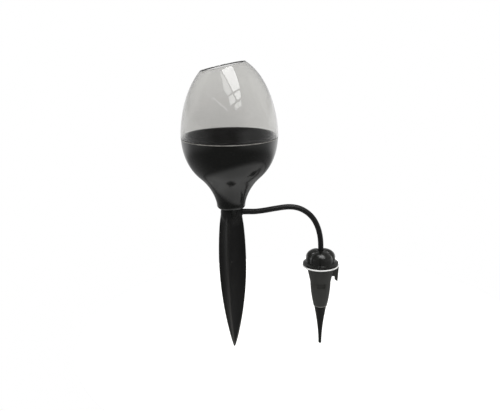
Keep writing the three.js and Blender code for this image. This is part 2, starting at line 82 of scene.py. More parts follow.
# Corners closer than this are merged, with more reach along the dome's freshly cut mouth.
WELD = 2e-6
MOUTH_WELD = 0.35 * MM

# Steps of curves and edges, and sides of what is turned.
CURVE_STEPS = 20
ARC_STEPS = 12
CORNER_STEPS = 4
BEVEL_STEPS = 3
CREST_STEPS = 16
EGG_STEPS = 44
HOSE_ROUND_STEPS = 10
HOSE_LENGTH_STEPS = 8
BIG_SIDES = 128
SMALL_SIDES = 96
OUTLET_SIDES = 32
LOBE_SIDES = 40

# In degrees: where the dome's egg ends, above its mouth, and which edges are still shaded smooth.
EGG_END = 86
CREASE = 32
CAP_CREASE = 40

# Rows of corners on the upright part of the cap's crown, as shares of its height.
UPRIGHT_ROWS = (0.4, 0.6, 0.8)

NOISE_ROUGHNESS = 0.55

RECORD = frame["record"]
BODY_OF = {node: body for body, nodes in RECORD["behaviour"]["bodies"].items() for node in nodes}
SLOT_OF = {subpart["node"]: subpart["material_slot"] for subpart in RECORD["subparts"]}


def size(name, millimetres, description):
    """Length that a user can change, written in millimetres."""
    return FloatProperty(
        name=name, description=description, default=millimetres * MM, unit="LENGTH", precision=5
    )


def slant(name, degrees, description):
    """Angle that a user can change, written in degrees."""
    return FloatProperty(
        name=name, description=description, default=math.radians(degrees), subtype="ANGLE"
    )


def tint(name, colour, description):
    """Colour that a user can change."""
    return FloatVectorProperty(
        name=name, description=description, default=colour, min=0, max=1, subtype="COLOR"
    )


def figure(name, value, description):
    """Plain number that a user can change."""
    return FloatProperty(name=name, description=description, default=value)


def position(name, metres, description):
    """Place that a user can change."""
    return FloatVectorProperty(
        name=name, description=description, size=len(metres), default=metres, subtype="TRANSLATION"
    )


class FitSizes(PropertyGroup):
    """Clearances and edges that all pieces share."""

    gap: size("Gap", 0.3, "Clearance between pieces that seat, slide or turn in one another")
    edge: size("Edge", 0.3, "Rounding of moulded edges")


class ReservoirSizes(PropertyGroup):
    """Bowl, dome, dome seal and strainer, with heights above the soil line."""

    seam_height: size("Seam height", 84, "Seam between the bowl and the dome")
    bowl_radius: size("Bowl radius", 47.4, "Outside of the bowl at the seam")
    bowl_wall: size("Bowl wall", 2.2, "Thickness of the bowl")
    rim_edge: size("Rim edge", 0.7, "Rounding of the bowl's rim at the seam")
    shoulder_length: size("Shoulder length", 9.4, "How far the bowl's rim runs down nearly upright")
    shoulder_draft: size("Shoulder draft", 0.6, "How far it leans in over that length")
    belly_radius: size("Belly radius", 30.2, "Where the round belly turns into the flare")
    belly_height: size("Belly height", 44.4, "Height of that turn")
    belly_slope: slant("Belly slope", 48.7, "Slope of the outside there, from upright")
    belly_fullness: size("Belly fullness", 19.5, "Length of the belly's curve above the turn")
    flare_fullness: size("Flare fullness", 16.3, "Length of the flare's curve below the turn")
    neck_radius: size("Neck radius", 14.2, "Outside of the neck")
    neck_height: size("Neck height", 16, "Top of the neck's rounded foot")
    neck_bottom: size("Neck bottom", 12.3, "Underside of the neck")
    neck_straight: size("Neck straight", 4, "Nearly upright length of the neck")
    collar_radius: size("Collar radius", 10.4, "Outside of the flat underside of the neck")
    socket_radius: size("Socket radius", 8.5, "Socket for the stake's spigot")
    socket_top: size("Socket top", 28, "Top of that socket")
    floor_height: size("Floor height", 30.5, "Floor of the water space")
    outlet_radius: size("Outlet radius", 4, "Hole in the floor")
    lip_radius: size("Lip radius", 44.6, "Outside of the lip that stands inside the dome")
    lip_wall: size("Lip wall", 2, "Thickness of the lip")
    lip_top: size("Lip top", 87, "Top of the lip")
    lip_slope: size("Lip slope", 0.8, "How far the lip's top falls towards its inside")
    groove_depth: size("Groove depth", 0.7, "Depth of the seal's groove in the lip")
    groove_height: size("Groove height", 2.2, "Height of that groove")
    tongue_width: size("Tongue width", 4, "Locating tongue on the front of the neck")
    tongue_length: size("Tongue length", 7.6, "How far the tongue hangs below the neck")
    tongue_thickness: size("Tongue thickness", 2, "Thickness of the tongue")
    tongue_angle: slant("Tongue angle", 15, "From the front towards the drip spike")
    dome_radius: size("Dome radius", 47.6, "Outside of the dome at its foot")
    egg_drop: size("Egg drop", 2, "Widest place of the egg, below the seam")
    dome_rise: size("Dome rise", 79.5, "Height of the full half egg above that place")
    dome_wall: size("Dome wall", 1.5, "Thickness of the dome")
    mouth_height: size("Mouth height", 153.4, "Slanted mouth on the axis")
    mouth_tilt: slant("Mouth tilt", 11.5, "Slant of the mouth, high towards the drip spike")
    strainer_radius: size("Strainer radius", 6.4, "Outside of the strainer's thimble")
    strainer_rim: size("Strainer rim", 9, "Outside of its foot")
    strainer_wall: size("Strainer wall", 1.2, "Thickness of the strainer")
    strainer_height: size("Strainer height", 7, "Height above its foot")
    strainer_plug: size("Strainer plug", 2.2, "How far its plug reaches into the outlet")
    slot_width: size("Slot width", 1.6, "Width of a slot")
    slots: IntProperty(name="Slots", description="Slots round the strainer", default=8, min=2)


class StakeSizes(PropertyGroup):
    """Ground stake with its head, spigot and outlet boss."""

    head_height: size("Head height", 12, "Top of the round head")
    head_round: size("Head round", 9, "Above this height the head is round")
    head_fin: size("Head fin", 10.9, "Reach of the fins at the top of the head")
    head_step: size("Head step", 0.6, "How far the fins stand out of the round head")
    fin_start: size("Fin start", -8, "Below this height the fins are full")
    fin_radius: size("Fin radius", 14.5, "Reach of the fins at the widest place")
    fin_widest: size("Fin widest", 44, "Depth of that place")
    fin_upper: size("Upper fullness", 26.4, "Length of the fins' curve above it")
    fin_lower: size("Lower fullness", 46.6, "Length of the fins' curve below it")
    fin_spread: size("Fin spread", 1.3, "How much the fins widen over the head's height")
    fin_edge: size("Fin edge", 1.8, "Thickness of a fin's edge at the widest place")
    fin_hollow: size("Fin hollow", 7.6, "From the axis to the hollow between two fins there")
    fin_turn: slant("Fin turn", 17, "How far the fins are turned from the front")
    gate_radius: size("Gate radius", 1, "Round of the mould gate's mark on the front")
    gate_reach: size("Gate reach", 10.05, "Middle of that mark from the stake's axis")
    gate_depth: size("Gate depth", 41.3, "Depth of the mark below the soil line")
    gate_turn: slant("Gate turn", -96.2, "Direction of the mark, a little left of the front")
    depth: size("Depth", 138.7, "Tip of the stake below the soil line")
    tip_flat: size("Tip flat", 0.6, "Radius of the blunt tip")
    tip_radius: size("Tip radius", 3, "Where the fins draw in to the tip")
    tip_length: size("Tip length", 5.1, "Length over which they do")
    spigot_radius: size("Spigot radius", 8.2, "Spigot inside the bowl's socket")
    spigot_top: size("Spigot top", 27.7, "Top of the spigot")
    spigot_chamfer: size("Spigot chamfer", 1, "Chamfer of its top edge")
    water_bore: size("Water bore", 3, "Radius of the bore down the spigot")
    ring_height: size("Ring height", 20, "Height of the spigot's sealing ring")
    ring_groove: size("Ring groove", 1.4, "Depth of its groove")
    boss_radius: size("Boss radius", 3.65, "Outside of the boss round the hose")
    boss_reach: size("Boss reach", 11.4, "How far the boss reaches from the axis")
    boss_height: size("Boss height", 8.35, "Height of the boss's axis")


class HoseSizes(PropertyGroup):
    """Short hose from the stake's boss into the cap."""

    radius: size("Hose radius", 2.75, "Outside of the hose")
    socket: size("Hose socket", 3.05, "Radius of the sockets at its ends")
    length: size("Hose length", 120.8, "Length from end to end, with what its sockets hide")
    head_swell: figure("Head swell", 1.06, "How much thicker the hose is over its nipple")
    swell_end: size("Swell end", 30, "Where it is down to its own size, from the stake's axis")


class SpikeSizes(PropertyGroup):
    """Drip spike: cap, gasket, cone body and tip, with heights from the top of the flange."""

    reach: size("Reach", 90, "The spike's axis from the stake's axis")
    drop: size("Drop", 50.7, "The flange's top below the soil line")
    flange_radius: size("Flange radius", 16.4, "Outside of the flange")
    flange_thickness: size("Flange thickness", 1.2, "Thickness of the flange")
    cup_radius: size("Cup radius", 13.9, "Outside of the cup under the flange")
    cup_bore: size("Cup bore", 9.2, "Bore of the cup")
    waist_radius: size("Waist radius", 10.4, "Where the cup meets the round-sided body")
    waist_depth: size("Waist depth", 17, "Depth of the waist")
    body_end: size("Body end", 6.8, "Radius of the body's lower end")
    body_depth: size("Body depth", 43.4, "Depth of that end")
    body_shoulder: size("Body shoulder", 1.1, "How far the body runs straight below the waist")
    body_round: size("Body round", 15, "Length of the curve into the lower end")
    body_wall: size("Body wall", 3, "Thickness of the body")
    seat_depth: size("Seat depth", 12.5, "Ledge that the valve seat rests on")
    seat_ledge: size("Seat ledge", 2, "Width of that ledge")
    panel_width: size("Panel width", 8.6, "Bare sunk panel on the front")
    panel_height: size("Panel height", 5, "Height of the panel")
    panel_top: size("Panel top", 16.7, "Depth of its upper edge")
    panel_sink: size("Panel sink", 2, "How far it is sunk")
    hook_width: size("Hook width", 3.2, "Width of the pot-rim hook")
    hook_root: size("Hook root", 9.8, "Where the hook grows out of the cup's wall")
    hook_reach: size("Hook reach", 18.6, "Outside of the hook at the flange")
    prong_outer: size("Prong outer", 17.4, "Outside of its prong at its end")
    prong_inner: size("Prong inner", 14.6, "Inside of its prong")
    prong_length: size("Prong length", 5.6, "Length of the prong below the notch")
    prong_slant: size("Prong slant", 2, "Height between the prong's two corners")
    notch_depth: size("Notch depth", 11.2, "Top of the notch")
    tip_radius: size("Tip radius", 6.2, "Radius of the tip at its joint")
    tip_length: size("Tip length", 42.5, "Length of the tip below its joint")
    tip_draft: size("Tip draft", 1.6, "How much it narrows over the curve's first part")
    tip_curve_top: size("Tip curve top", 10, "Length of that part")
    tip_curve_end: size("Tip curve end", 16, "Length of the curve into the point")
    tip_end: size("Tip end", 1.6, "Radius of the point")
    plug_radius: size("Plug radius", 3.5, "Plug of the tip inside the body")
    plug_length: size("Plug length", 7.5, "Length of the plug inside the body")
    drip_bore: size("Drip bore", 1, "Radius of the bore down the tip")
    drip_outlet: size("Drip outlet", 0.8, "Radius of the side outlets")
    outlet_depth: size("Outlet depth", 16, "Side outlets below the joint")
    gasket_radius: size("Gasket radius", 18.6, "Outside of the gasket")
    gasket_thickness: size("Gasket thickness", 1.2, "Thickness of the gasket")
    brim_radius: size("Brim radius", 18, "Outside of the cap's brim")
    brim_thickness: size("Brim thickness", 2.9, "Thickness of the brim")
    brim_edge: size("Brim edge", 2.2, "What its slope leaves of that thickness at its edge")
    crown_radius: size("Crown radius", 15, "Outside of the lobed crown")
    crown_height: size("Crown height", 12.4, "Height of the crown above the brim")
    crown_side: size("Crown side", 5, "Upright part of that height")
    crown_top: size("Crown top", 6, "Radius along the top of the lobes")
    crown_dip: size("Crown dip", 0.5, "How far the middle of the top lies lower")
    crown_fillet: size("Crown fillet", 0.2, "Rounding between the crown and the brim")
    dip_radius: size("Dip radius", 3.85, "Flat ring round the hose")
    lobe_crease: size("Lobe crease", 1.8, "Depth of the creases between the lobes")
    crease_sink: size("Crease sink", 1.6, "How far the creases lie lower on top of the crown")
    crease_turn: slant("Crease turn", 90, "Direction of one crease")
    lobes: IntProperty(name="Lobes", description="Lobes round the crown", default=3, min=3)
    mark_width: size("Mark width", 1.3, "Setting mark, a groove down the crown and over the brim")
    mark_depth: size("Mark depth", 0.8, "Depth of that groove")
    mark_turn: slant("Mark turn", -98, "Direction of the mark, a little left of the front")
    skirt_radius: size("Skirt radius", 8.9, "Outside of the cap's skirt in the cup")
    skirt_bore: size("Skirt bore", 7.1, "Bore of the skirt")
    skirt_length: size("Skirt length", 7.8, "Length of the skirt below the brim")
    chamber_top: size("Chamber top", 10.3, "Roof over the needle's collar")
    groove_low: size("Groove low", 6.4, "Lower edge of the retainer's groove")
    groove_high: size("Groove high", 8, "Upper edge of that groove")
    groove_depth: size("Groove depth", 0.7, "Depth of that groove")


class Finishes(PropertyGroup):
    """Colours of the plastics and rubbers."""

    clear_plastic: tint("Clear plastic", (0.785, 0.78, 0.765), "Faintly smoky clear plastic")
    gloss_black: tint("Gloss black", (0.0078, 0.008, 0.0074), "Polished black plastic")
    cap_black: tint("Cap black", (0.0145, 0.0147, 0.0135), "Less polished black plastic")
    satin_black: tint("Satin black", (0.009, 0.009, 0.0088), "Stake, tip and inner fittings")
    cone_grey: tint("Cone grey", (0.0195, 0.0195, 0.0172), "Warm dark grey plastic")
    hose_black: tint("Hose black", (0.0085, 0.0085, 0.0085), "Extruded hose")
    seal_rubber: tint("Seal rubber", (0.01, 0.01, 0.01), "Black rubber rings")
    seal_white: tint("Seal white", (0.95, 0.95, 0.93), "White rubber ring")
    natural_plastic: tint("Natural plastic", (0.76, 0.75, 0.71), "Uncoloured plastic")
    # Pale colour of dusting and scratches; it also paints the highlights on the bowl's rim and on the
    # stake's fin edges.
    dust: tint("Dust", (0.30, 0.29, 0.27), "Light dust and fine scratches")


class StageSettings(PropertyGroup):
    """Camera, floor and light."""

    camera_place: position("Camera place", (0.018811, -0.676148, 0.195632), "Where the camera stands")
    camera_pitch: slant("Camera pitch", 15, "How far the camera looks down")
    camera_roll: slant("Camera roll", -1, "Roll of the camera about its own axis")
    camera_lens: figure("Camera lens", 50.4, "Focal length in millimetres")
    floor_drop: size("Floor drop", 4, "Floor below the lowest point of the part")
    floor_radius: size("Floor radius", 250, "Radius of the floor's white sheet")
    floor_centre: position("Floor centre", (0.078, 0.045), "Middle of the sheet, in X and Y")
    ambient: figure("Ambient", 0.55, "Soft light from all sides")
    room_radius: size("Room radius", 2000, "Room round the stage that reflections see")
    room_front: figure("Room front", 0.04, "Glow of its front")
    room_back: figure("Room back", 0.3, "Glow of its back")
    room_sides: figure("Room sides", 0.5, "Glow added level on its sides")
    room_wall: figure("Room wall", 0.6, "Glow added level on its back")
    room_right: figure("Room right", 0.3, "Glow added high on its right")
    room_echo: figure("Room echo", 0.7, "Sky inside reflections")
    window_turn: slant("Window turn", 20, "Direction of the window, from the front to the right")
    window_rise: slant("Window rise", 50, "How high the window stands")
    window_distance: size("Window distance", 1200, "Window from the reservoir")


SETTINGS = {
    "dripper_fit": FitSizes,
    "dripper_reservoir": ReservoirSizes,
    "dripper_stake": StakeSizes,
    "dripper_hose": HoseSizes,
    "dripper_spike": SpikeSizes,
    "dripper_finishes": Finishes,
    "dripper_stage": StageSettings,
}

# Middle of the hose in X and Z, from inside the stake's boss to inside the cap.
HOSE_ROUTE = [
    (0.006, 0.00835), (0.012, 0.00835), (0.017, 0.0083), (0.023, 0.0082), (0.029, 0.0087),
    (0.035, 0.0095), (0.041, 0.0105), (0.047, 0.0114), (0.053, 0.0122), (0.059, 0.0124),
    (0.0645, 0.0117), (0.0695, 0.0101), (0.074, 0.0076), (0.078, 0.0045), (0.0815, 0.0006),
    (0.0845, -0.0042), (0.0869, -0.0098), (0.0886, -0.016), (0.0896, -0.0224), (0.09, -0.029),
    (0.09, -0.0389),
]

# Glow of each pane of the window and its corners, across and up from the window's middle.
WINDOW_PANES = [
    (8.0, [(-0.46, 1.04), (0.31, 1.2), (0.34, -0.05), (-0.055, -0.125), (-0.16, 0.12), (-0.28, 0.48)]),
    (4.0, [(-0.54, 1.1), (-0.34, 0.47), (-0.22, 0.11), (-0.11, -0.14), (-0.33, -0.185), (-0.51, 0.0)]),
    (7.0, [(-0.03, -0.19), (0.34, -0.115), (0.34, -0.31), (0.11, -0.37)]),
    (5.0, [(-0.33, -0.25), (-0.09, -0.2), (0.05, -0.39), (-0.27, -0.48)]),
    (4.5, [(-0.08, -0.49), (0.34, -0.37), (0.33, -0.52), (-0.02, -0.61)]),
    (1.5, [(-1.6, 0.35), (-0.94, -0.19), (-0.44, -0.57), (-0.48, -0.62), (-0.98, -0.25), (-1.64, 0.29)]),
]
WINDOW_MIDDLE = Vector((0, 0, 0.12))

# Name, place, width and power of each lamp.
LAMPS = [
    ("key_lamp", (0.55, -0.7, 0.75), 0.5, 5.0),
    ("fill_lamp", (-0.8, -0.35, 0.45), 0.7, 3.0),
    ("back_lamp", (0.1, 0.8, 0.8), 0.8, 4.0),
]
LAMP_AIM = Vector((0.03, 0, 0))


def curve(start, start_pull, end_pull, end):
    """Points of a cubic curve between two places of radius and height."""
    places = [Vector(place) for place in (start, start_pull, end_pull, end)]
    return [(point.x, point.y) for point in interpolate_bezier(*places, CURVE_STEPS + 1)]


def arc(centre, across, up, first, last, steps=ARC_STEPS):
    """Points of an ellipse about a centre, between two angles in degrees."""
    angles = [math.radians(first + (last - first) * step / steps) for step in range(steps + 1)]
    return [(centre[0] + across * math.cos(angle), centre[1] + up * math.sin(angle)) for angle in angles]


def inset(outline, wall):
    """Outline moved by a wall's thickness, to the left of its direction of travel."""
    moved = []
    for i, (radius, height) in enumerate(outline):
        before = Vector(outline[max(i - 1, 0)])
        after = Vector(outline[min(i + 1, len(outline) - 1)])
        along = (after - before).normalized()
        moved.append((radius - wall * along.y, height + wall * along.x))
    return moved


def bend(start, pull, end, steps):
    """Points of the curve from a start to an end that leans towards a pull."""
    shares = [step / steps for step in range(steps + 1)]
    return [tuple(start.lerp(pull, t).lerp(pull.lerp(end, t), t)) for t in shares]


def rounded(corners):
    """Closed outline in which each corner with a third number is rounded over that length."""
    points = []
    for i, corner in enumerate(corners):
        here = Vector(corner[:2])
        if len(corner) == 2:
            points.append(tuple(here))
            continue
        before = Vector(corners[i - 1][:2])
        after = Vector(corners[(i + 1) % len(corners)][:2])
        start = here + (before - here).normalized() * corner[2]
        end = here + (after - here).normalized() * corner[2]
        points += bend(start, here, end, CORNER_STEPS)
    return points


def smooth_step(value, low, high):
    """Soft passage from 0 at the low value to 1 at the high one."""
    share = min(max((value - low) / (high - low), 0), 1)
    return share * share * (3 - 2 * share)


def heading_of(turned):
    """Level direction at an angle from +X."""
    return Vector((math.cos(turned), math.sin(turned), 0))


def spike_axis(spike):
    """Place on the drip spike's axis at the top of its flange."""
    return Vector((spike.reach, 0, -spike.drop))


def make_active(piece):
    """Selects one object alone."""
    bpy.ops.object.select_all(action="DESELECT")
    bpy.context.view_layer.objects.active = piece
    piece.select_set(True)


@contextmanager
def editing(piece):
    """Edit mode on one object alone, with all of its mesh selected."""
    make_active(piece)
    bpy.ops.object.mode_set(mode="EDIT")
    bpy.ops.mesh.select_all(action="SELECT")
    yield
    bpy.ops.object.mode_set(mode="OBJECT")


def add_primitive(operator, **values):
    """Adds a primitive at its size and place, alone in the selection."""
    bpy.ops.object.select_all(action="DESELECT")
    operator(**values)
    return bpy.context.object


def add_tool(operator, **values):
    """Primitive to join or cut with, which has its place in its mesh."""
    tool = add_primitive(operator, **values)
    bpy.ops.object.transform_apply(location=True, rotation=True, scale=True)
    return tool


@contextmanager
def drawing(name, points):
    """Line through points, drawn by extruding one corner on and on, to be shaped in edit mode."""
    piece = add_primitive(bpy.ops.mesh.primitive_plane_add, size=MM)
    piece.name = name
    piece.data.name = name
    with editing(piece):
        bpy.ops.mesh.merge(type="CENTER")
        bpy.ops.transform.translate(value=points[0])
        for here, there in zip(points, points[1:]):
            step = Vector(there) - Vector(here)
            bpy.ops.mesh.extrude_vertices_move(TRANSFORM_OT_translate={"value": step})
        bpy.ops.mesh.select_all(action="SELECT")
        yield piece


def weld_and_face_out(reach=WELD):
    """Merges doubled corners of the mesh being edited and turns its faces outwards."""
    bpy.ops.mesh.select_all(action="SELECT")
    bpy.ops.mesh.remove_doubles(threshold=reach)
    bpy.ops.mesh.normals_make_consistent(inside=False)


def close_and_fill():
    """Joins the ends of the line being edited and fills it."""
    bpy.ops.mesh.remove_doubles(threshold=WELD)
    bpy.ops.mesh.edge_face_add()


def turn(name, outline, sides, axis=STAKE_AXIS, start=0.0):
    """Turned piece: an outline of radius and height, spun about an upright axis."""
    outwards = heading_of(start)
    points = [axis + outwards * radius + Vector((0, 0, z)) for radius, z in outline]
    with drawing(name, points) as piece:
        bpy.ops.mesh.spin(steps=sides, angle=math.tau, center=axis, axis=(0, 0, 1))
        weld_and_face_out()
    return piece


def turn_closed(name, corners, *place):
    """Turned piece with a closed outline, rounded at its marked corners."""
    outline = rounded(corners)
    return turn(name, outline + outline[:1], *place)


def raise_ring(ring, next_ring):
    """Extrudes the selected ring of a radius and height to the next one, which it returns."""
    radius, height = next_ring
    grow = radius / ring[0]
    rise = (0, 0, height - ring[1])
    bpy.ops.mesh.extrude_region_move(TRANSFORM_OT_translate={"value": rise})
    bpy.ops.transform.resize(value=(grow, grow, 1), center_override=(0, 0, height))
    return next_ring


def select_where(piece, test):
    """Selects the corners of the mesh being edited whose place passes a test."""
    mesh = bmesh.from_edit_mesh(piece.data)
    for corner in mesh.verts:
        corner.select = test(corner.co)
    mesh.select_flush_mode()
    bmesh.update_edit_mesh(piece.data)


def block(centre, extent, turned=0.0, edge=0.0):
    """Box at its size and place, turned about the upright, with softened edges."""
    tool = add_tool(
        bpy.ops.mesh.primitive_cube_add, size=1, location=centre, rotation=(0, 0, turned), scale=extent
    )
    if edge:
        with editing(tool):
            bpy.ops.mesh.bevel(offset=edge, segments=CORNER_STEPS, affect="EDGES")
    return tool


def tongue_block(sizes, fit, play=0.0, edge=0.0):
    """Locating tongue of the bowl or, with play all round, the slot for it in the stake."""
    low = sizes.neck_bottom - sizes.tongue_length - play
    high = sizes.neck_height
    turned = sizes.tongue_angle - math.pi / 2
    reach = sizes.collar_radius - sizes.tongue_thickness / 2 + fit.gap
    centre = heading_of(turned) * reach + Vector((0, 0, (low + high) / 2))
    extent = (sizes.tongue_thickness + 2 * play, sizes.tongue_width + 2 * play, high - low)
    return block(centre, extent, turned, edge)


def peg(radius, first, last, place, sides=SMALL_SIDES):
    """Round bar along X between two distances, through a place of Y and Z."""
    return add_tool(
        bpy.ops.mesh.primitive_cylinder_add,
        vertices=sides,
        radius=radius,
        depth=last - first,
        location=((first + last) / 2, *place),
        rotation=(0, math.pi / 2, 0),
    )


def flat_plate(name, outline, spike, width, turned):
    """Plate out from the drip spike's axis, drawn as an outline and pulled to its width."""
    outwards = heading_of(turned)
    aside = Vector((-outwards.y, outwards.x, 0)) * width
    corner = spike_axis(spike) - aside / 2
    points = [corner + outwards * radius + Vector((0, 0, z)) for radius, z in outline]
    with drawing(name, points + points[:1]) as plate:
        close_and_fill()
        bpy.ops.mesh.extrude_region_move(TRANSFORM_OT_translate={"value": aside})
        weld_and_face_out()
    return plate


def apply_modifier(piece, kind, **settings):
    """Adds a modifier with its settings to a piece and applies it."""
    make_active(piece)
    modifier = piece.modifiers.new(kind.lower(), kind)
    for key, value in settings.items():
        setattr(modifier, key, value)
    bpy.ops.object.modifier_apply(modifier=modifier.name)


def carve(piece, tool, operation):
    """Joins a tool's shape to a piece or takes it out of it, and removes the tool."""
    apply_modifier(piece, "BOOLEAN", operation=operation, solver="MANIFOLD", object=tool)
    bpy.data.objects.remove(tool)


def round_edges(piece, width, least_angle):
    """Bevels the edges of a piece that are sharper than an angle in degrees."""
    limit = math.radians(least_angle)
    apply_modifier(
        piece, "BEVEL", width=width, segments=BEVEL_STEPS, limit_method="ANGLE", angle_limit=limit
    )


def hand_over(piece, node):
    """Hands a piece to the frame in place of its CAD node."""
    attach(piece, BODY_OF[node])
    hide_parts(node)


def stand_in(piece, node, crease=CREASE, look=None):
    """Smooths a finished piece, gives it its finish and lets it stand for its CAD node."""
    make_active(piece)
    bpy.ops.object.shade_smooth_by_angle(angle=math.radians(crease))
    if not piece.data.polygons:
        raise RuntimeError(f"{piece.name} came out empty")
    piece.data.materials.clear()
    piece.data.materials.append(finish(look or SLOT_OF[node]))
    hand_over(piece, node)


def feed(tree, socket, value):
    """Links a socket to another one, or gives it a plain value."""
    if isinstance(value, bpy.types.NodeSocket):
        tree.links.new(value, socket)
    else:
        socket.default_value = value


def wire(tree, node, **sockets):
    """Feeds the inputs of a node by their labels, in which an underscore stands for a space."""
    for label, value in sockets.items():
        feed(tree, node.inputs[label.replace("_", " ")], value)


def put(tree, kind, **sockets):
    """Places a shader node, feeds its inputs and returns its outputs."""
    node = tree.nodes.new("ShaderNode" + kind)
    wire(tree, node, **sockets)
    return node.outputs


def combine(tree, operation, first, *others):
    """Sum, product or the like of sockets and numbers, taken one after another."""
    for other in others:
        node = tree.nodes.new("ShaderNodeMath")
        node.operation = operation
        feed(tree, node.inputs[0], first)
        feed(tree, node.inputs[1], other)
        first = node.outputs["Value"]
    return first


def unsigned(tree, value):
    """Value without its sign."""
    return combine(tree, "ABSOLUTE", value, 0)


def measure(tree, operation, vector, other=(0, 0, 0)):
    """Length of a vector, its distance from a place or its share along a direction."""
    node = tree.nodes.new("ShaderNodeVectorMath")
    node.operation = operation
    node.inputs[1].default_value = other
    tree.links.new(vector, node.inputs[0])
    return node.outputs["Value"]


def axes_of(tree, vector):
    """X, Y and Z of a vector."""
    return put(tree, "SeparateXYZ", Vector=vector)


def noise(tree, vector, scale, detail):
    """Noise texture on a vector."""
    return put(
        tree, "TexNoise", Vector=vector, Scale=scale, Detail=detail, Roughness=NOISE_ROUGHNESS
    )["Fac"]


def stretch(tree, value, low, high, to_low=0.0, to_high=1.0):
    """Value stretched smoothly from one range to another."""
    node = tree.nodes.new("ShaderNodeMapRange")
    node.interpolation_type = "SMOOTHSTEP"
    wire(tree, node, Value=value, From_Min=low, From_Max=high, To_Min=to_low, To_Max=to_high)
    return node.outputs["Result"]


def mix_colour(tree, share, first, second):
    """Blend of two colours, given as sockets or plain colours."""
    node = tree.nodes.new("ShaderNodeMix")
    node.data_type = "RGBA"
    tree.links.new(share, node.inputs["Factor"])
    for label, colour in (("A", first), ("B", second)):
        socket = next(s for s in node.inputs if s.name == label and s.type == "RGBA")
        feed(tree, socket, colour if isinstance(colour, bpy.types.NodeSocket) else (*colour, 1))
    return next(s for s in node.outputs if s.type == "RGBA")


def new_group(name, inputs, outputs):
    """Shader node group on a vector, with number sockets, and the sockets at its two ends."""
    group = bpy.data.node_groups.new(name, "ShaderNodeTree")
    group.interface.new_socket("Vector", in_out="INPUT", socket_type="NodeSocketVector")
    for label, default in inputs.items():
        socket = group.interface.new_socket(label, in_out="INPUT", socket_type="NodeSocketFloat")
        socket.default_value = default
    for label in outputs:
        group.interface.new_socket(label, in_out="OUTPUT", socket_type="NodeSocketFloat")
    return group, group.nodes.new("NodeGroupInput").outputs, group.nodes.new("NodeGroupOutput").inputs


def place_group(tree, maker, place, **values):
    """Places the shared node group of a maker in a material, built at its first use."""
    node = tree.nodes.new("ShaderNodeGroup")
    node.node_tree = bpy.data.node_groups.get(maker.__name__) or maker()
    wire(tree, node, Vector=place, **values)
    return node.outputs


def moulded_skin():
    """Fine moulded grain and a broad unevenness of the gloss."""
    group, given, result = new_group(
        "moulded_skin",
        {"Grain Scale": 2000.0, "Gloss": 0.4, "Spread": 0.1},
        ["Roughness", "Height", "Cloud"],
    )
    place = given["Vector"]
    cloud = noise(group, place, scale=60, detail=3)
    centred = combine(group, "SUBTRACT", cloud, 0.5)
    uneven = combine(group, "MULTIPLY", centred, given["Spread"])
    feed(group, result["Roughness"], combine(group, "ADD", given["Gloss"], uneven))
    feed(group, result["Height"], noise(group, place, given["Grain Scale"], detail=3))
    feed(group, result["Cloud"], cloud)
    return group


def handling_marks():
    """Fine scratches in two directions, in loose patches."""
    group, given, result = new_group("handling_marks", {"Amount": 0.3}, ["Mask"])
    place = given["Vector"]
    length_scale = 40.0
    layers = []
    for lean, width_scale in ((0.5, 900.0), (-0.8, 700.0)):
        turned = put(
            group,
            "Mapping",
            Vector=place,
            Rotation=(0.2, lean, 0.4 * lean),
            Scale=(width_scale, width_scale, length_scale),
        )
        streaks = noise(group, turned["Vector"], scale=1.0, detail=2)
        layers.append(stretch(group, streaks, low=0.66, high=0.74))
    scratches = combine(group, "MAXIMUM", *layers)
    patches = stretch(group, noise(group, place, scale=45, detail=2), low=0.5, high=0.68)
    feed(group, result["Mask"], combine(group, "MULTIPLY", scratches, patches, given["Amount"]))
    return group


def settled_dust():
    """Dust that settles in patches on what faces up."""
    group, given, result = new_group("settled_dust", {"Amount": 0.2}, ["Mask"])
    normal = put(group, "NewGeometry")["Normal"]
    upwards = stretch(group, axes_of(group, normal)["Z"], low=0.35, high=0.95)
    patches = stretch(group, noise(group, given["Vector"], scale=160, detail=5), low=0.42, high=0.7)
    feed(group, result["Mask"], combine(group, "MULTIPLY", upwards, patches, given["Amount"]))
    return group


def pale_edge():
    """Thin edge that looks pale, at a height on a turned piece and outside a radius."""
    inputs = {"Axis": 0.0, "Height": 0.0, "Radius": 0.0, "Amount": 0.5}
    group, given, result = new_group("pale_edge", inputs, ["Mask"])
    axes = axes_of(group, given["Vector"])
    aside = combine(group, "SUBTRACT", axes["X"], given["Axis"])
    squares = [combine(group, "POWER", length, 2) for length in (aside, axes["Y"])]
    radius = combine(group, "SQRT", combine(group, "ADD", *squares), 0)
    outside = combine(group, "GREATER_THAN", radius, given["Radius"])
    offset = unsigned(group, combine(group, "SUBTRACT", axes["Z"], given["Height"]))
    near = stretch(group, offset, 0.4 * MM, 0.7 * MM, 1, 0)
    patches = stretch(group, noise(group, given["Vector"], scale=200, detail=2), 0.3, 0.6, 0.6, 1)
    feed(group, result["Mask"], combine(group, "MULTIPLY", outside, near, patches, given["Amount"]))
    return group


def start_material(name):
    """Material with its Principled shader and the object's coordinates."""
    material = bpy.data.materials.new(name + "_finish")
    material.use_nodes = True
    tree = material.node_tree
    return material, tree, tree.nodes["Principled BSDF"], put(tree, "TexCoord")["Object"]


def gate_place(sizes):
    """Middle of the mould gate's mark on the stake."""
    return heading_of(sizes.gate_turn) * sizes.gate_reach - Vector((0, 0, sizes.gate_depth))


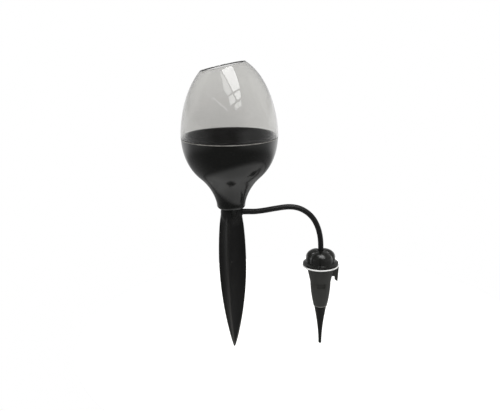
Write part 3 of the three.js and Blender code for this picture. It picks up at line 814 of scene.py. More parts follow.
def fin_edges(tree, place):
    """Painted highlight along the edges of the stake's fins, brighter towards the tip, and a paler round
    painted on its gate mark.
    """
    sizes = bpy.context.scene.dripper_stake
    gate_pale = 0.07
    # Strength of the painted highlight on the fins' edges at the tip and at the top of the stake.
    tip_highlight = 0.14
    top_highlight = 0.03
    away = measure(tree, "DISTANCE", place, gate_place(sizes))
    gate = stretch(tree, away, sizes.gate_radius, 1.2 * sizes.gate_radius, gate_pale, 0)
    axes = axes_of(tree, put(tree, "Mapping", Vector=place, Rotation=(0, 0, sizes.fin_turn))["Vector"])
    offset = combine(tree, "MINIMUM", unsigned(tree, axes["X"]), unsigned(tree, axes["Y"]))
    near = stretch(tree, offset, 0.25 * sizes.fin_edge, 0.5 * sizes.fin_edge, 1, 0)
    amount = stretch(tree, axes["Z"], -0.9 * sizes.depth, -0.1 * sizes.depth, tip_highlight, top_highlight)
    below = combine(tree, "LESS_THAN", axes["Z"], 0)
    return combine(tree, "MAXIMUM", combine(tree, "MULTIPLY", near, amount, below), gate)


def bowl_rim(tree, place):
    """Painted highlight along the bowl's rim at the seam, under the dome's foot."""
    sizes = bpy.context.scene.dripper_reservoir
    height = sizes.seam_height - sizes.rim_edge / 2
    radius = sizes.bowl_radius - 2 * sizes.rim_edge
    return place_group(tree, pale_edge, place, Height=height, Radius=radius, Amount=0.8)["Mask"]


def cone_end(tree, place):
    """Pale lower end of the cone body."""
    sizes = bpy.context.scene.dripper_spike
    height = 0.5 * MM - sizes.drop - sizes.body_depth
    return place_group(tree, pale_edge, place, Axis=sizes.reach, Height=height, Amount=0.5)["Mask"]


def plastic(slot, gloss, spread, grain, relief, marks, dust, contrast=0.18, shine=0.5, edge=None):
    """Moulded plastic or rubber: uneven gloss, fine grain, scratches, a light dusting and, where an edge
    mask is given, a pale edge that on the bowl's rim and the stake's fins is a painted highlight.
    """
    colours = bpy.context.scene.dripper_finishes
    base = Vector(getattr(colours, slot))
    material, tree, shader, place = start_material(slot)
    skin = place_group(tree, moulded_skin, place, Grain_Scale=grain, Gloss=gloss, Spread=spread)
    scratches = place_group(tree, handling_marks, place, Amount=marks)["Mask"]
    settled = place_group(tree, settled_dust, place, Amount=dust)["Mask"]
    colour = mix_colour(tree, skin["Cloud"], base * (1 - contrast), base * (1 + contrast))
    masks = [scratches, settled]
    if edge:
        masks.append(edge(tree, place))
    # Scratches, the settled dusting and the edge mask all lean towards one pale colour; on the bowl's rim
    # and the stake's fins the edge mask is a painted highlight.
    for mask in masks:
        colour = mix_colour(tree, mask, colour, colours.dust)
    bump = put(tree, "Bump", Strength=1.0, Distance=relief, Height=skin["Height"])
    wire(
        tree,
        shader,
        Base_Color=colour,
        Roughness=combine(tree, "ADD", skin["Roughness"], settled),
        Normal=bump["Normal"],
        Specular_IOR_Level=shine,
    )
    return material


def mouth_normal(sizes):
    """Direction straight out of the dome's slanted mouth."""
    return (-math.sin(sizes.mouth_tilt), 0, math.cos(sizes.mouth_tilt))


def cut_mouth(tree, place):
    """Where the dome's mouth was cut, which is dull and pale."""
    sizes = bpy.context.scene.dripper_reservoir
    across = mouth_normal(sizes)
    level = measure(tree, "DOT_PRODUCT", place, across)
    offset = unsigned(tree, combine(tree, "SUBTRACT", level, sizes.mouth_height * across[2]))
    return stretch(tree, offset, 0.4 * MM, 1.2 * MM, 1, 0)


def smoke_pool(tree, place):
    """Painted shade on the dome: darker low, and a little to the left of its middle."""
    sizes = bpy.context.scene.dripper_reservoir
    seen_from_front = put(tree, "Mapping", Vector=place, Scale=(1, 0, 1))["Vector"]
    away = measure(tree, "DISTANCE", seen_from_front, (-0.2 * sizes.dome_radius, 0, sizes.lip_top))
    return stretch(tree, away, 8 * MM, 60 * MM, 1, 0)


def thick_foot(tree, place):
    """Where the dome's wall is seen along its length near the foot, which looks darker."""
    foot = stretch(tree, axes_of(tree, place)["Z"], 100 * MM, 130 * MM, 0.1, 0)
    slanting = stretch(tree, put(tree, "LayerWeight")["Facing"], low=0.4, high=0.8)
    return combine(tree, "MULTIPLY", slanting, foot)


def clear_plastic(slot):
    """Clear moulded plastic, faintly smoky, with fine wiping marks and a painted shade low in its middle.
    """
    smoke = Vector(getattr(bpy.context.scene.dripper_finishes, slot))
    contrast = 0.03
    # How dark the painted shade on the dome gets.
    painted_shade_tone = 0.88
    mouth_dullness = 0.5
    material, tree, shader, place = start_material(slot)
    skin = place_group(tree, moulded_skin, place, Grain_Scale=400.0, Gloss=0.03, Spread=0.03)
    scratches = place_group(tree, handling_marks, place, Amount=0.12)["Mask"]
    mouth = cut_mouth(tree, place)
    cloudy = mix_colour(tree, skin["Cloud"], smoke * (1 - contrast), smoke * (1 + contrast))
    # Painted shade: darker low and a little left of the dome's middle.
    with_painted_shade = mix_colour(tree, smoke_pool(tree, place), cloudy, smoke * painted_shade_tone)
    # Darker at a slant near the foot; this colour keeps the painted shade.
    smoky = mix_colour(tree, thick_foot(tree, place), with_painted_shade, BLACK[:3])
    dulled = combine(tree, "MULTIPLY", mouth, mouth_dullness)
    wire(
        tree,
        shader,
        Base_Color=mix_colour(tree, mouth, smoky, WHITE[:3]),
        Roughness=combine(tree, "ADD", skin["Roughness"], scratches, dulled),
        Transmission_Weight=1.0,
        IOR=1.49,
    )
    return material


# Finish of each plastic and rubber, whose colour is among the settings. The edge masks of gloss black and
# satin black paint highlights on the bowl's rim and the stake's fins.
PLASTICS = {
    "gloss_black": dict(
        gloss=0.17, spread=0.06, grain=1500, relief=2e-6, marks=0.06, dust=0.02, edge=bowl_rim
    ),
    "cap_black": dict(
        gloss=0.22, spread=0.06, grain=1500, relief=2e-6, marks=0.06, dust=0.02, shine=0.35
    ),
    "satin_black": dict(
        gloss=0.42, spread=0.12, grain=2600, relief=1.2e-5, marks=0.08, dust=0.03, shine=0.1, edge=fin_edges
    ),
    "cone_grey": dict(
        gloss=0.58, spread=0.12, grain=3200, relief=2e-5, marks=0.1, dust=0.05, shine=0.4, edge=cone_end
    ),
    "hose_black": dict(
        gloss=0.45, spread=0.15, grain=1800, relief=8e-6, marks=0.08, dust=0.03, shine=0.2
    ),
    "seal_rubber": dict(gloss=0.62, spread=0.1, grain=2600, relief=1e-5, marks=0.0, dust=0.04),
    "seal_white": dict(
        gloss=0.5, spread=0.1, grain=2200, relief=8e-6, marks=0.03, dust=0.03, contrast=0.03
    ),
    "natural_plastic": dict(
        gloss=0.4, spread=0.1, grain=2400, relief=6e-6, marks=0.03, dust=0.02, contrast=0.04
    ),
}


def finish(look):
    """Material of a look, made at its first use."""
    made = bpy.data.materials.get(look + "_finish")
    if made:
        return made
    return plastic(look, **PLASTICS[look]) if look in PLASTICS else clear_plastic(look)


class DRIPPER_OT_stage(Operator):
    """Camera, pale floor, soft studio light and the room that reflections see"""

    bl_idname = "dripper.stage"
    bl_label = "Stage"

    def execute(self, context):
        stage = context.scene.dripper_stage
        self.place_camera(context, stage)
        self.lay_floor(stage)
        self.raise_room(stage)
        self.hang_window(stage)
        self.light_world(context.scene, stage)
        self.hang_lamps(context)
        context.scene.view_settings.view_transform = "Standard"
        return {"FINISHED"}

    def place_camera(self, context, stage):
        lens = bpy.data.cameras.new("camera")
        lens.lens = stage.camera_lens
        camera = bpy.data.objects.new("camera", lens)
        level = math.pi / 2
        pitch = Matrix.Rotation(level - stage.camera_pitch, 4, "X")
        roll = Matrix.Rotation(stage.camera_roll, 4, "Z")
        camera.matrix_world = Matrix.Translation(stage.camera_place) @ pitch @ roll
        context.collection.objects.link(camera)
        context.scene.camera = camera

    def lay_floor(self, stage):
        """White sheet that reflections see dimmer behind the part and towards its rim."""
        floor = add_primitive(
            bpy.ops.mesh.primitive_circle_add,
            vertices=BIG_SIDES,
            radius=stage.floor_radius,
            fill_type="NGON",
            location=(*stage.floor_centre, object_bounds()[0][2] - stage.floor_drop),
        )
        floor.name = "floor"
        material, tree, shader, place = start_material("floor_white")
        rays = put(tree, "LightPath")
        behind = stretch(tree, axes_of(tree, place)["Y"], -50 * MM, 50 * MM, 0, 0.5)
        rim = stretch(tree, measure(tree, "LENGTH", place), 0.7 * stage.floor_radius, stage.floor_radius)
        away = combine(tree, "MAXIMUM", behind, rim)
        dimmed = combine(tree, "MULTIPLY", away, rays["Is Glossy Ray"])
        seen = combine(tree, "MAXIMUM", rays["Is Camera Ray"], rays["Is Transmission Ray"])
        paper = (0.8, 0.8, 0.79)
        shade = (0.05, 0.05, 0.05)
        wire(
            tree,
            shader,
            Base_Color=mix_colour(tree, dimmed, paper, shade),
            Roughness=0.9,
            Emission_Color=WHITE,
            Emission_Strength=combine(tree, "MULTIPLY", seen, 0.5),
        )
        floor.data.materials.append(material)
        floor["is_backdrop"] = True

    def raise_room(self, stage):
        """Dim room round the stage: dark in front, with a pale band behind and on its sides."""
        radius = stage.room_radius
        room = add_primitive(
            bpy.ops.mesh.primitive_uv_sphere_add, segments=48, ring_count=24, radius=radius
        )
        room.name = "room"

        def glow(tree, place):
            axes = axes_of(tree, place)

            def between(value, low, high, *levels):
                """Passage between two places, given as shares of the room's radius."""
                return stretch(tree, value, low * radius, high * radius, *levels)

            depth = between(axes["Y"], -0.6, 0.8, stage.room_front, stage.room_back)
            aside = unsigned(tree, combine(tree, "ADD", axes["X"], 0.15 * radius))
            sides = between(aside, 0.3, 0.9, 0, stage.room_sides)
            wall = between(axes["Y"], 0.1, 0.6, 0, stage.room_wall)
            above = between(axes["Z"], -0.4, -0.2)
            below = between(axes["Z"], 0.04, 0.2, 1, 0)
            band = combine(tree, "MULTIPLY", combine(tree, "ADD", sides, wall), above, below)
            right = between(axes["X"], 0.3, 0.8, 0, stage.room_right)
            high = between(axes["Z"], 0.05, 0.3)
            return combine(tree, "ADD", depth, band, combine(tree, "MULTIPLY", right, high))

        self.glow_in_reflections(room, glow)

    def hang_window(self, stage):
        """Panes of a tall window in front, over the camera."""
        turned = Matrix.Rotation(stage.window_turn, 3, "Z") @ Matrix.Rotation(-stage.window_rise, 3, "X")
        for number, (strength, corners) in enumerate(WINDOW_PANES):
            places = [WINDOW_MIDDLE + turned @ Vector((u, -stage.window_distance, v)) for u, v in corners]
            with drawing(f"window_pane_{number}", places + places[:1]) as pane:
                close_and_fill()
            self.glow_in_reflections(pane, strength)

    def glow_in_reflections(self, card, glow):
        """Gives a card of the stage its glow, a number or a pattern, and leaves it to reflections."""
        material, tree, shader, place = start_material(card.name)
        strength = glow(tree, place) if callable(glow) else glow
        wire(tree, shader, Base_Color=BLACK, Emission_Color=WHITE, Emission_Strength=strength)
        card.data.materials.append(material)
        card.visible_camera = False
        card.visible_transmission = False
        card.visible_diffuse = False
        card.visible_shadow = False
        card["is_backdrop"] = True

    def light_world(self, scene, stage):
        """White behind the part and soft light on it; inside a reflection the sky is dim."""
        scene.world = bpy.data.worlds.new("studio")
        scene.world.use_nodes = True
        scene.world.cycles_visibility.glossy = False
        tree = scene.world.node_tree
        rays = put(tree, "LightPath")
        through = rays["Is Transmission Ray"]
        bounces = combine(tree, "ADD", rays["Glossy Depth"], rays["Diffuse Depth"])
        straight = combine(tree, "MULTIPLY", through, combine(tree, "LESS_THAN", bounces, 0.5))
        seen = combine(tree, "MAXIMUM", rays["Is Camera Ray"], straight)
        white = combine(tree, "MULTIPLY", seen, 1 - stage.ambient)
        depth = axes_of(tree, put(tree, "TexCoord")["Generated"])["Y"]
        echo = stretch(tree, depth, -0.3, 0.3, stage.room_back, stage.room_echo)
        again = combine(tree, "SUBTRACT", through, straight)
        dim = combine(tree, "MULTIPLY", again, combine(tree, "SUBTRACT", echo, stage.ambient))
        light = combine(tree, "ADD", stage.ambient, combine(tree, "ADD", white, dim))
        wire(tree, tree.nodes["Background"], Color=WHITE, Strength=light)

    def hang_lamps(self, context):
        for name, place, width, power in LAMPS:
            light = bpy.data.lights.new(name, "AREA")
            light.shape = "SQUARE"
            light.size = width
            light.energy = power
            lamp = bpy.data.objects.new(name, light)
            lamp.location = place
            lamp.rotation_euler = (LAMP_AIM - lamp.location).to_track_quat("-Z", "Y").to_euler()
            lamp.visible_glossy = False
            lamp.visible_transmission = False
            context.collection.objects.link(lamp)


class DRIPPER_OT_hose(Operator):
    """Short hose from the stake's boss over into the cap"""

    bl_idname = "dripper.hose"
    bl_label = "Hose"

    def execute(self, context):
        hose = context.scene.dripper_hose
        stake = context.scene.dripper_stake
        line = bpy.data.curves.new("hose_black", "CURVE")
        line.dimensions = "3D"
        line.bevel_depth = hose.radius
        line.bevel_resolution = HOSE_ROUND_STEPS
        line.resolution_u = HOSE_LENGTH_STEPS
        line.use_fill_caps = True
        spline = line.splines.new("BEZIER")
        spline.bezier_points.add(len(HOSE_ROUTE) - 1)
        for knot, (x, z) in zip(spline.bezier_points, HOSE_ROUTE):
            knot.co = (x, 0, z)
            slimmed = smooth_step(x, stake.boss_reach, hose.swell_end)
            knot.radius = hose.head_swell + (1 - hose.head_swell) * slimmed
            knot.handle_left_type = "AUTO"
            knot.handle_right_type = "AUTO"
        piece = bpy.data.objects.new("hose_black", line)
        context.collection.objects.link(piece)
        line.materials.append(finish(SLOT_OF["drip_tube"]))
        hand_over(piece, "drip_tube")
        return {"FINISHED"}


class DRIPPER_OT_dome(Operator):
    """Clear half egg over the bowl, cut off by a slanted mouth"""

    bl_idname = "dripper.dome"
    bl_label = "Clear dome"

    def execute(self, context):
        sizes = context.scene.dripper_reservoir
        fit = context.scene.dripper_fit
        foot = math.degrees(math.asin((sizes.egg_drop + fit.gap) / sizes.dome_rise))
        middle = (0, sizes.seam_height - sizes.egg_drop)
        egg = arc(middle, sizes.dome_radius, sizes.dome_rise, foot, EGG_END, EGG_STEPS)
        piece = turn("dome_clear", egg, BIG_SIDES)
        with editing(piece):
            bpy.ops.mesh.bisect(
                plane_co=(0, 0, sizes.mouth_height), plane_no=mouth_normal(sizes), clear_outer=True
            )
            weld_and_face_out(MOUTH_WELD)
        apply_modifier(piece, "SOLIDIFY", thickness=sizes.dome_wall, offset=-1, use_even_offset=True)
        round_edges(piece, fit.edge, least_angle=50)
        stand_in(piece, "clear_dome")
        return {"FINISHED"}


class DRIPPER_OT_bowl(Operator):
    """Black lower half of the reservoir with its lip, neck and locating tongue"""

    bl_idname = "dripper.bowl"
    bl_label = "Reservoir bowl"

    def execute(self, context):
        sizes = context.scene.dripper_reservoir
        fit = context.scene.dripper_fit
        outside = self.outside(sizes)
        lip_bore = sizes.lip_radius - sizes.lip_wall
        wall = inset(outside, sizes.bowl_wall)
        inside = [(r, z) for r, z in wall if z > sizes.floor_height and r < lip_bore]
        floor_radius = min(r for r, z in inside)
        groove_middle = (sizes.seam_height + sizes.lip_top) / 2
        groove_low = groove_middle - sizes.groove_height / 2
        groove_high = groove_middle + sizes.groove_height / 2
        groove = sizes.lip_radius - sizes.groove_depth
        foot_centre = (sizes.collar_radius, sizes.neck_height)
        foot_size = (sizes.neck_radius - sizes.collar_radius, sizes.neck_height - sizes.neck_bottom)
        corners = [
            (sizes.socket_radius, sizes.neck_bottom, fit.edge),
            *arc(foot_centre, *foot_size, -90, 0)[:-1],
            *outside[:-1],
            (sizes.bowl_radius, sizes.seam_height, sizes.rim_edge),
            (sizes.lip_radius, sizes.seam_height),
            (sizes.lip_radius, groove_low),
            (groove, groove_low),
            (groove, groove_high),
            (sizes.lip_radius, groove_high),
            (sizes.lip_radius, sizes.lip_top, fit.edge),
            (lip_bore, sizes.lip_top - sizes.lip_slope, fit.edge),
            *reversed(inside),
            (floor_radius - fit.edge, sizes.floor_height),
            (sizes.outlet_radius, sizes.floor_height, fit.edge),
            (sizes.outlet_radius, sizes.socket_top),
            (sizes.socket_radius, sizes.socket_top),
        ]
        piece = turn_closed("bowl_black", corners, BIG_SIDES)
        carve(piece, tongue_block(sizes, fit, edge=fit.edge), "UNION")
        stand_in(piece, "reservoir_bowl")
        return {"FINISHED"}

    def outside(self, sizes):
        """Outline from the neck up to the seam."""
        lean = Vector((math.sin(sizes.belly_slope), math.cos(sizes.belly_slope)))
        belly = Vector((sizes.belly_radius, sizes.belly_height))
        neck = (sizes.neck_radius, sizes.neck_height)
        neck_pull = (sizes.neck_radius, sizes.neck_height + sizes.neck_straight)
        rim = (sizes.bowl_radius, sizes.seam_height)
        rim_pull = (rim[0] - sizes.shoulder_draft, rim[1] - sizes.shoulder_length)
        flare = curve(neck, neck_pull, belly - sizes.flare_fullness * lean, belly)
        swell = curve(belly, belly + sizes.belly_fullness * lean, rim_pull, rim)
        return flare + swell[1:]


class DRIPPER_OT_seals(Operator):
    """Rubber rings of the dome and of the stake's spigot"""

    bl_idname = "dripper.seals"
    bl_label = "Rubber rings"

    def execute(self, context):
        reservoir = context.scene.dripper_reservoir
        stake = context.scene.dripper_stake
        gap = context.scene.dripper_fit.gap
        lip_groove = reservoir.lip_radius - reservoir.groove_depth
        dome_bore = reservoir.dome_radius - reservoir.dome_wall
        spigot_groove = stake.spigot_radius - stake.ring_groove
        seam = (reservoir.seam_height + reservoir.lip_top) / 2
        rings = [
            ("seal_dome", "dome_seal", lip_groove + gap, dome_bore - gap, seam),
            (
                "seal_spigot",
                "spigot_o_ring",
                spigot_groove + gap / 2,
                reservoir.socket_radius - gap / 2,
                stake.ring_height,
            ),
        ]
        for name, node, inner, outer, height in rings:
            half = (outer - inner) / 2
            round_section = arc(((inner + outer) / 2, height), half, half, 0, 360, CURVE_STEPS)
            stand_in(turn(name, round_section, BIG_SIDES), node)
        return {"FINISHED"}


class DRIPPER_OT_strainer(Operator):
    """Slotted thimble over the bowl's outlet"""

    bl_idname = "dripper.strainer"
    bl_label = "Outlet strainer"

    def execute(self, context):
        sizes = context.scene.dripper_reservoir
        fit = context.scene.dripper_fit
        foot = sizes.floor_height + fit.gap
        top = foot + sizes.strainer_height
        wall = sizes.strainer_wall
        inner = sizes.strainer_radius - wall
        plug = sizes.outlet_radius - fit.gap
        corners = [
            (0, top),
            (sizes.strainer_radius, top, wall),
            (sizes.strainer_radius, foot + wall, fit.edge),
            (sizes.strainer_rim, foot + wall, fit.edge),
            (sizes.strainer_rim, foot),
            (plug, foot),
            (plug, foot - sizes.strainer_plug),
            (plug - wall, foot - sizes.strainer_plug),
            (plug - wall, foot + wall),
            (inner, foot + wall),
            (inner, top - wall),
            (0, top - wall),
        ]
        piece = turn("strainer_black", rounded(corners), SMALL_SIDES)
        low = foot + 2 * wall
        high = top - 2 * wall
        extent = (3 * sizes.strainer_radius, sizes.slot_width, high - low)
        for i in range(sizes.slots // 2):
            turned = math.tau * i / sizes.slots
            carve(piece, block((0, 0, (low + high) / 2), extent, turned), "DIFFERENCE")
        stand_in(piece, "outlet_strainer")
        return {"FINISHED"}


class DRIPPER_OT_stake(Operator):
    """Ground stake of four leaf-shaped fins under a round head with its spigot"""

    bl_idname = "dripper.stake"
    bl_label = "Ground stake"

    def execute(self, context):
        sizes = context.scene.dripper_stake
        fit = context.scene.dripper_fit
        levels = self.levels(sizes)
        section = self.section(sizes, fit)
        tip_reach, tip_height = levels[0]
        scale = tip_reach / sizes.fin_radius
        points = [(x * scale, y * scale, tip_height) for x, y in section]
        with drawing("stake_black", points + points[:1]) as piece:
            bpy.ops.mesh.remove_doubles(threshold=WELD)
            self.raise_fins(sizes, section, levels)
            self.raise_spigot(sizes, fit)
            bpy.ops.mesh.edge_face_add()
            select_where(piece, lambda place: place.z < tip_height + WELD)
            bpy.ops.mesh.edge_face_add()
            weld_and_face_out()
        boss = (0, sizes.boss_height)
        socket = context.scene.dripper_hose.socket
        carve(piece, peg(sizes.boss_radius, sizes.water_bore, sizes.boss_reach, boss), "UNION")
        carve(piece, peg(socket, 0, sizes.boss_reach + fit.edge, boss), "DIFFERENCE")
        carve(piece, tongue_block(context.scene.dripper_reservoir, fit, play=fit.gap), "DIFFERENCE")
        carve(piece, self.gate_mark(sizes), "UNION")
        stand_in(piece, "stake")
        return {"FINISHED"}

    def levels(self, sizes):
        """Reach of the fins at heights from the tip up to the top of the head."""
        widest = (sizes.fin_radius, -sizes.fin_widest)
        lower = curve(
            (sizes.tip_flat, -sizes.depth),
            (sizes.tip_radius, sizes.tip_length - sizes.depth),
            (sizes.fin_radius, -sizes.fin_widest - sizes.fin_lower),
            widest,
        )
        upper = curve(
            widest,
            (sizes.fin_radius, sizes.fin_upper - sizes.fin_widest),
            (sizes.head_fin + sizes.fin_spread, 0),
            (sizes.head_fin, sizes.head_height),
        )
        return lower + upper[1:]

    def section(self, sizes, fit):
        """Four-finned section at the widest place, hollowed from each fin's rounded edge to the next."""
        half = sizes.fin_edge / 2
        pull = math.sqrt(2) * sizes.fin_hollow - (sizes.fin_radius + half) / 2
        edge = (sizes.fin_radius, half, 2 * fit.edge)
        next_edge = (half, sizes.fin_radius, 2 * fit.edge)
        hollow = bend(Vector(edge[:2]), Vector((pull, pull)), Vector(next_edge[:2]), CURVE_STEPS)
        quarter = [edge, *hollow[1:-1], next_edge]
        corners = []
        for fin in range(4):
            turned = Matrix.Rotation(math.pi / 2 * fin - sizes.fin_turn, 2)
            corners += [(*(turned @ Vector(corner[:2])), *corner[2:]) for corner in quarter]
        return rounded(corners)

    def raise_fins(self, sizes, section, levels):
        """Raises the section through the levels and rounds it off in the head."""
        mean = sum(math.hypot(x, y) for x, y in section) / len(section) / sizes.fin_radius
        ring = levels[0]
        last_round = 0.0
        for reach, height in levels[1:]:
            roundness = smooth_step(height, sizes.fin_start, sizes.head_round)
            scale = (reach - roundness * sizes.head_step) / (1 - roundness + roundness * mean)
            ring = raise_ring(ring, (scale, height))
            if roundness > last_round:
                bpy.ops.transform.tosphere(value=(roundness - last_round) / (1 - last_round))
            last_round = roundness

    def raise_spigot(self, sizes, fit):
        """Closes the head's top and raises the grooved spigot and its bore from it."""
        groove = sizes.spigot_radius - sizes.ring_groove
        groove_half = (sizes.ring_groove + fit.gap) / 2
        steps = [
            (sizes.spigot_radius, sizes.head_height),
            (sizes.spigot_radius, sizes.ring_height - groove_half),
            (groove, sizes.ring_height - groove_half),
            (groove, sizes.ring_height + groove_half),
            (sizes.spigot_radius, sizes.ring_height + groove_half),
            (sizes.spigot_radius, sizes.spigot_top - sizes.spigot_chamfer),
            (sizes.spigot_radius - sizes.spigot_chamfer, sizes.spigot_top),
            (sizes.water_bore, sizes.spigot_top),
            (sizes.water_bore, sizes.boss_height - sizes.boss_radius),
        ]
        ring = (sizes.head_fin - sizes.head_step, sizes.head_height)
        for step in steps:
            ring = raise_ring(ring, step)

    def gate_mark(self, sizes):
        return add_tool(
            bpy.ops.mesh.primitive_uv_sphere_add,
            segments=24,
            ring_count=12,
            radius=sizes.gate_radius,
            location=gate_place(sizes),
        )


class DRIPPER_OT_cap(Operator):
    """Lobed cap with its brim, and the white ring under it"""

    bl_idname = "dripper.cap"
    bl_label = "Cap and gasket"

    def execute(self, context):
        sizes = context.scene.dripper_spike
        fit = context.scene.dripper_fit
        self.make_cap(sizes, fit, context.scene.dripper_hose.socket)
        self.make_gasket(sizes, fit)
        return {"FINISHED"}

    def make_cap(self, sizes, fit, socket):
        brim_low = sizes.gasket_thickness + 2 * fit.gap
        brim_top = brim_low + sizes.brim_thickness
        side_top = brim_top + sizes.crown_side
        top = brim_top + sizes.crown_height
        skirt_low = brim_low - sizes.skirt_length
        groove = sizes.skirt_bore + sizes.groove_depth
        round_size = (sizes.crown_radius - sizes.crown_top, top - side_top)
        dip_size = (sizes.crown_top - sizes.dip_radius, sizes.crown_dip)
        crest = arc((sizes.crown_top, side_top), *round_size, 0, 90, CREST_STEPS)
        corners = [
            (sizes.skirt_bore, skirt_low),
            (sizes.skirt_radius, skirt_low, fit.edge),
            (sizes.skirt_radius, brim_low),
            (sizes.brim_radius, brim_low, fit.edge),
            (sizes.brim_radius, brim_low + sizes.brim_edge, fit.edge / 2),
            (sizes.crown_radius, brim_top, sizes.crown_fillet),
            *[(sizes.crown_radius, brim_top + share * sizes.crown_side) for share in UPRIGHT_ROWS],
            *crest,
            *arc((sizes.crown_top, top - sizes.crown_dip), *dip_size, 90, 180)[1:],
            (socket, top - sizes.crown_dip, fit.edge),
            (socket, sizes.chamber_top),
            (sizes.skirt_bore, sizes.chamber_top),
            (sizes.skirt_bore, sizes.groove_high),
            (groove, sizes.groove_high),
            (groove, sizes.groove_low),
            (sizes.skirt_bore, sizes.groove_low),
        ]
        sides = LOBE_SIDES * sizes.lobes
        piece = turn_closed("cap_lobed", corners, sides, spike_axis(sizes), sizes.crease_turn)
        self.press_creases(piece, sizes, brim_top, groove)
        carve(piece, self.setting_mark(sizes, brim_low, crest), "DIFFERENCE")
        stand_in(piece, "drip_cap", CAP_CREASE, "cap_black")

    def press_creases(self, piece, sizes, brim_top, chamber_wall):
        """Draws the crown in towards the creases between the lobes, and lowers its top there."""
        axis = spike_axis(sizes)
        step = math.tau / (LOBE_SIDES * sizes.lobes)
        hollow = sizes.crown_top - sizes.dip_radius
        rings = [sizes.dip_radius - WELD, sizes.dip_radius + hollow / 4, sizes.dip_radius + hollow / 2]
        outer = sizes.crown_radius + sizes.crown_fillet + WELD

        def on_column(place, column, inner):
            spot = place - axis
            radius = math.hypot(spot.x, spot.y)
            if spot.z < brim_top - WELD or not inner < radius < outer:
                return False
            if spot.z < sizes.chamber_top + WELD and radius < chamber_wall + WELD:
                return False
            turned = math.atan2(spot.y, spot.x) - sizes.crease_turn
            nearest = round(turned / step) % LOBE_SIDES
            return min(nearest, LOBE_SIDES - nearest) == column

        with editing(piece):
            for column in range(LOBE_SIDES // 2):
                rise = abs(math.sin(column * step * sizes.lobes / 2))
                depth = (1 - rise) ** 2
                draw_in = 1 - depth * sizes.lobe_crease / sizes.crown_radius
                sink = math.sqrt(1 - depth * sizes.crease_sink / sizes.crown_height)
                for inner, shape in zip(rings, ((draw_in, draw_in, 1), (1, 1, sink), (1, 1, sink))):
                    select_where(piece, lambda place: on_column(place, column, inner))
                    centre = axis + Vector((0, 0, brim_top))
                    bpy.ops.transform.resize(value=shape, center_override=centre)

    def setting_mark(self, sizes, low, crest):
        """Plate that cuts a groove along the crown's outline and over the brim."""
        inner = inset([(sizes.crown_radius, low), *crest], sizes.mark_depth)
        high = crest[-1][1] + sizes.mark_depth
        base = low - sizes.mark_depth
        outer = sizes.brim_radius + sizes.mark_depth
        outline = [
            *inner[1:],
            (sizes.crown_top, high),
            (outer, high),
            (outer, base + sizes.brim_edge),
            (inner[0][0], base + sizes.brim_thickness),
        ]
        return flat_plate("setting_mark", outline, sizes, sizes.mark_width, sizes.mark_turn)

    def make_gasket(self, sizes, fit):
        low = fit.gap
        high = low + sizes.gasket_thickness
        inner = sizes.cup_bore + fit.gap
        corners = [
            (inner, low, fit.edge),
            (sizes.gasket_radius, low, 2 * fit.edge),
            (sizes.gasket_radius, high, 2 * fit.edge),
            (inner, high, fit.edge),
        ]
        stand_in(turn_closed("gasket_white", corners, BIG_SIDES, spike_axis(sizes)), "cap_gasket")


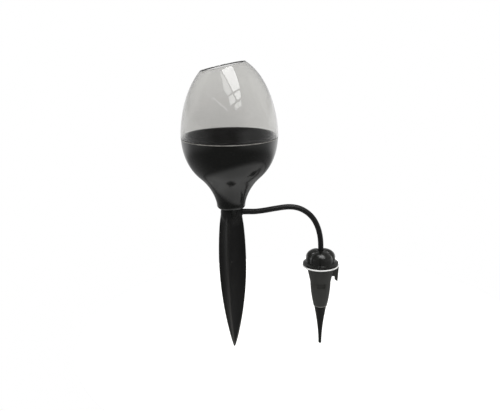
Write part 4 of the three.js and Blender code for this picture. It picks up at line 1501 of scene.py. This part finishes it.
class DRIPPER_OT_spike(Operator):
    """Tapered body of the drip spike with its pot-rim hook, and its thin point"""

    bl_idname = "dripper.spike"
    bl_label = "Cone body and tip"

    def execute(self, context):
        sizes = context.scene.dripper_spike
        fit = context.scene.dripper_fit
        self.make_body(sizes, fit)
        self.make_tip(sizes, fit)
        return {"FINISHED"}

    def make_body(self, sizes, fit):
        outside = curve(
            (sizes.body_end, -sizes.body_depth),
            (sizes.waist_radius, sizes.body_round - sizes.body_depth),
            (sizes.waist_radius, -sizes.waist_depth - sizes.body_shoulder),
            (sizes.waist_radius, -sizes.waist_depth),
        )
        tip_bore = sizes.plug_radius + fit.gap
        plug_top = sizes.plug_length - sizes.body_depth
        ledge = sizes.cup_bore - sizes.seat_ledge
        wall = inset(outside, sizes.body_wall)
        inside = [(r, z) for r, z in wall if z > plug_top + fit.edge and tip_bore < r < ledge]
        corners = [
            (tip_bore, -sizes.body_depth),
            (*outside[0], fit.edge),
            *outside[1:],
            (sizes.cup_radius, -sizes.flange_thickness),
            (sizes.flange_radius, -sizes.flange_thickness, fit.edge),
            (sizes.flange_radius, 0, fit.edge),
            (sizes.cup_bore, 0, fit.edge),
            (sizes.cup_bore, -sizes.seat_depth),
            (ledge, -sizes.seat_depth),
            *reversed(inside),
            (tip_bore, plug_top),
        ]
        piece = turn_closed("cone_grey", corners, BIG_SIDES, spike_axis(sizes))
        carve(piece, self.hook(sizes, fit), "UNION")
        depth = sizes.waist_radius
        ahead = sizes.panel_sink - sizes.waist_radius - depth / 2
        centre = spike_axis(sizes) + Vector((0, ahead, -sizes.panel_top - sizes.panel_height / 2))
        extent = (sizes.panel_width, depth, sizes.panel_height)
        carve(piece, block(centre, extent, edge=fit.edge), "DIFFERENCE")
        stand_in(piece, "cone_body")

    def hook(self, sizes, fit):
        """Notched plate with a prong, drawn flat and pulled to its width."""
        top = -sizes.flange_thickness / 2
        prong_low = -sizes.notch_depth - sizes.prong_length
        corners = [
            (sizes.hook_root, top),
            (sizes.hook_root, -sizes.notch_depth),
            (sizes.prong_inner, -sizes.notch_depth, fit.edge),
            (sizes.prong_inner, prong_low + sizes.prong_slant, fit.edge),
            (sizes.prong_outer, prong_low, fit.edge),
            (sizes.hook_reach, -sizes.flange_thickness),
            (sizes.hook_reach, top, fit.edge),
        ]
        plate = flat_plate("hook_plate", rounded(corners), sizes, sizes.hook_width, turned=0.0)
        round_edges(plate, fit.edge / 2, least_angle=60)
        return plate

    def make_tip(self, sizes, fit):
        joint = -sizes.body_depth - fit.gap
        nose = joint - sizes.tip_length + sizes.tip_end
        side = curve(
            (sizes.tip_end, nose),
            (sizes.tip_end, nose + sizes.tip_curve_end),
            (sizes.tip_radius - sizes.tip_draft, joint - sizes.tip_curve_top),
            (sizes.tip_radius, joint),
        )
        plug_top = sizes.plug_length - sizes.body_depth - fit.gap
        outlet = joint - sizes.outlet_depth
        bore_end = outlet - sizes.drip_outlet
        corners = [
            (0, bore_end),
            (sizes.drip_bore, bore_end),
            (sizes.drip_bore, plug_top),
            (sizes.plug_radius, plug_top, fit.edge),
            (sizes.plug_radius, joint),
            (sizes.tip_radius, joint, fit.edge),
            *reversed(side[:-1]),
            *reversed(arc((0, nose), sizes.tip_end, sizes.tip_end, -90, 0)[:-1]),
        ]
        piece = turn("tip_black", rounded(corners), SMALL_SIDES, spike_axis(sizes))
        ends = (sizes.reach - sizes.tip_radius, sizes.reach + sizes.tip_radius)
        outlets = peg(sizes.drip_outlet, *ends, (0, outlet - sizes.drop), OUTLET_SIDES)
        carve(piece, outlets, "DIFFERENCE")
        stand_in(piece, "spike_tip")


class DRIPPER_OT_fittings(Operator):
    """Finishes of the hidden fittings, which keep their CAD shapes"""

    bl_idname = "dripper.fittings"
    bl_label = "Hidden fittings"

    def execute(self, context):
        for node in ("tube_barb", "valve_needle", "needle_retainer", "valve_seat"):
            mesh = frame["nodes"][node].data
            mesh.materials.clear()
            mesh.materials.append(finish(SLOT_OF[node]))
        return {"FINISHED"}


MAKERS = (
    DRIPPER_OT_stage,
    DRIPPER_OT_hose,
    DRIPPER_OT_dome,
    DRIPPER_OT_bowl,
    DRIPPER_OT_seals,
    DRIPPER_OT_strainer,
    DRIPPER_OT_stake,
    DRIPPER_OT_cap,
    DRIPPER_OT_spike,
    DRIPPER_OT_fittings,
)


class DRIPPER_PT_panel(Panel):
    """Makers and sizes of the plant water dripper"""

    bl_label = "Plant water dripper"
    bl_idname = "DRIPPER_PT_panel"
    bl_space_type = "VIEW_3D"
    bl_region_type = "UI"
    bl_category = "Dripper"

    def draw(self, context):
        for maker in MAKERS:
            self.layout.operator(maker.bl_idname)
        for name, group in SETTINGS.items():
            box = self.layout.box()
            box.label(text=group.__doc__.rstrip("."))
            for key in group.__annotations__:
                box.prop(getattr(context.scene, name), key)


def register():
    for name, group in SETTINGS.items():
        bpy.utils.register_class(group)
        setattr(bpy.types.Scene, name, PointerProperty(type=group))
    for cls in (*MAKERS, DRIPPER_PT_panel):
        bpy.utils.register_class(cls)


def unregister():
    for cls in reversed((*MAKERS, DRIPPER_PT_panel)):
        bpy.utils.unregister_class(cls)
    for name, group in SETTINGS.items():
        delattr(bpy.types.Scene, name)
        bpy.utils.unregister_class(group)


def main():
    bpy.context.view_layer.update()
    register()
    bpy.ops.dripper.stage()
    bpy.ops.dripper.hose()
    bpy.ops.dripper.dome()
    bpy.ops.dripper.bowl()
    bpy.ops.dripper.seals()
    bpy.ops.dripper.strainer()
    bpy.ops.dripper.stake()
    bpy.ops.dripper.cap()
    bpy.ops.dripper.spike()
    bpy.ops.dripper.fittings()


if __name__ == "__main__":
    main()
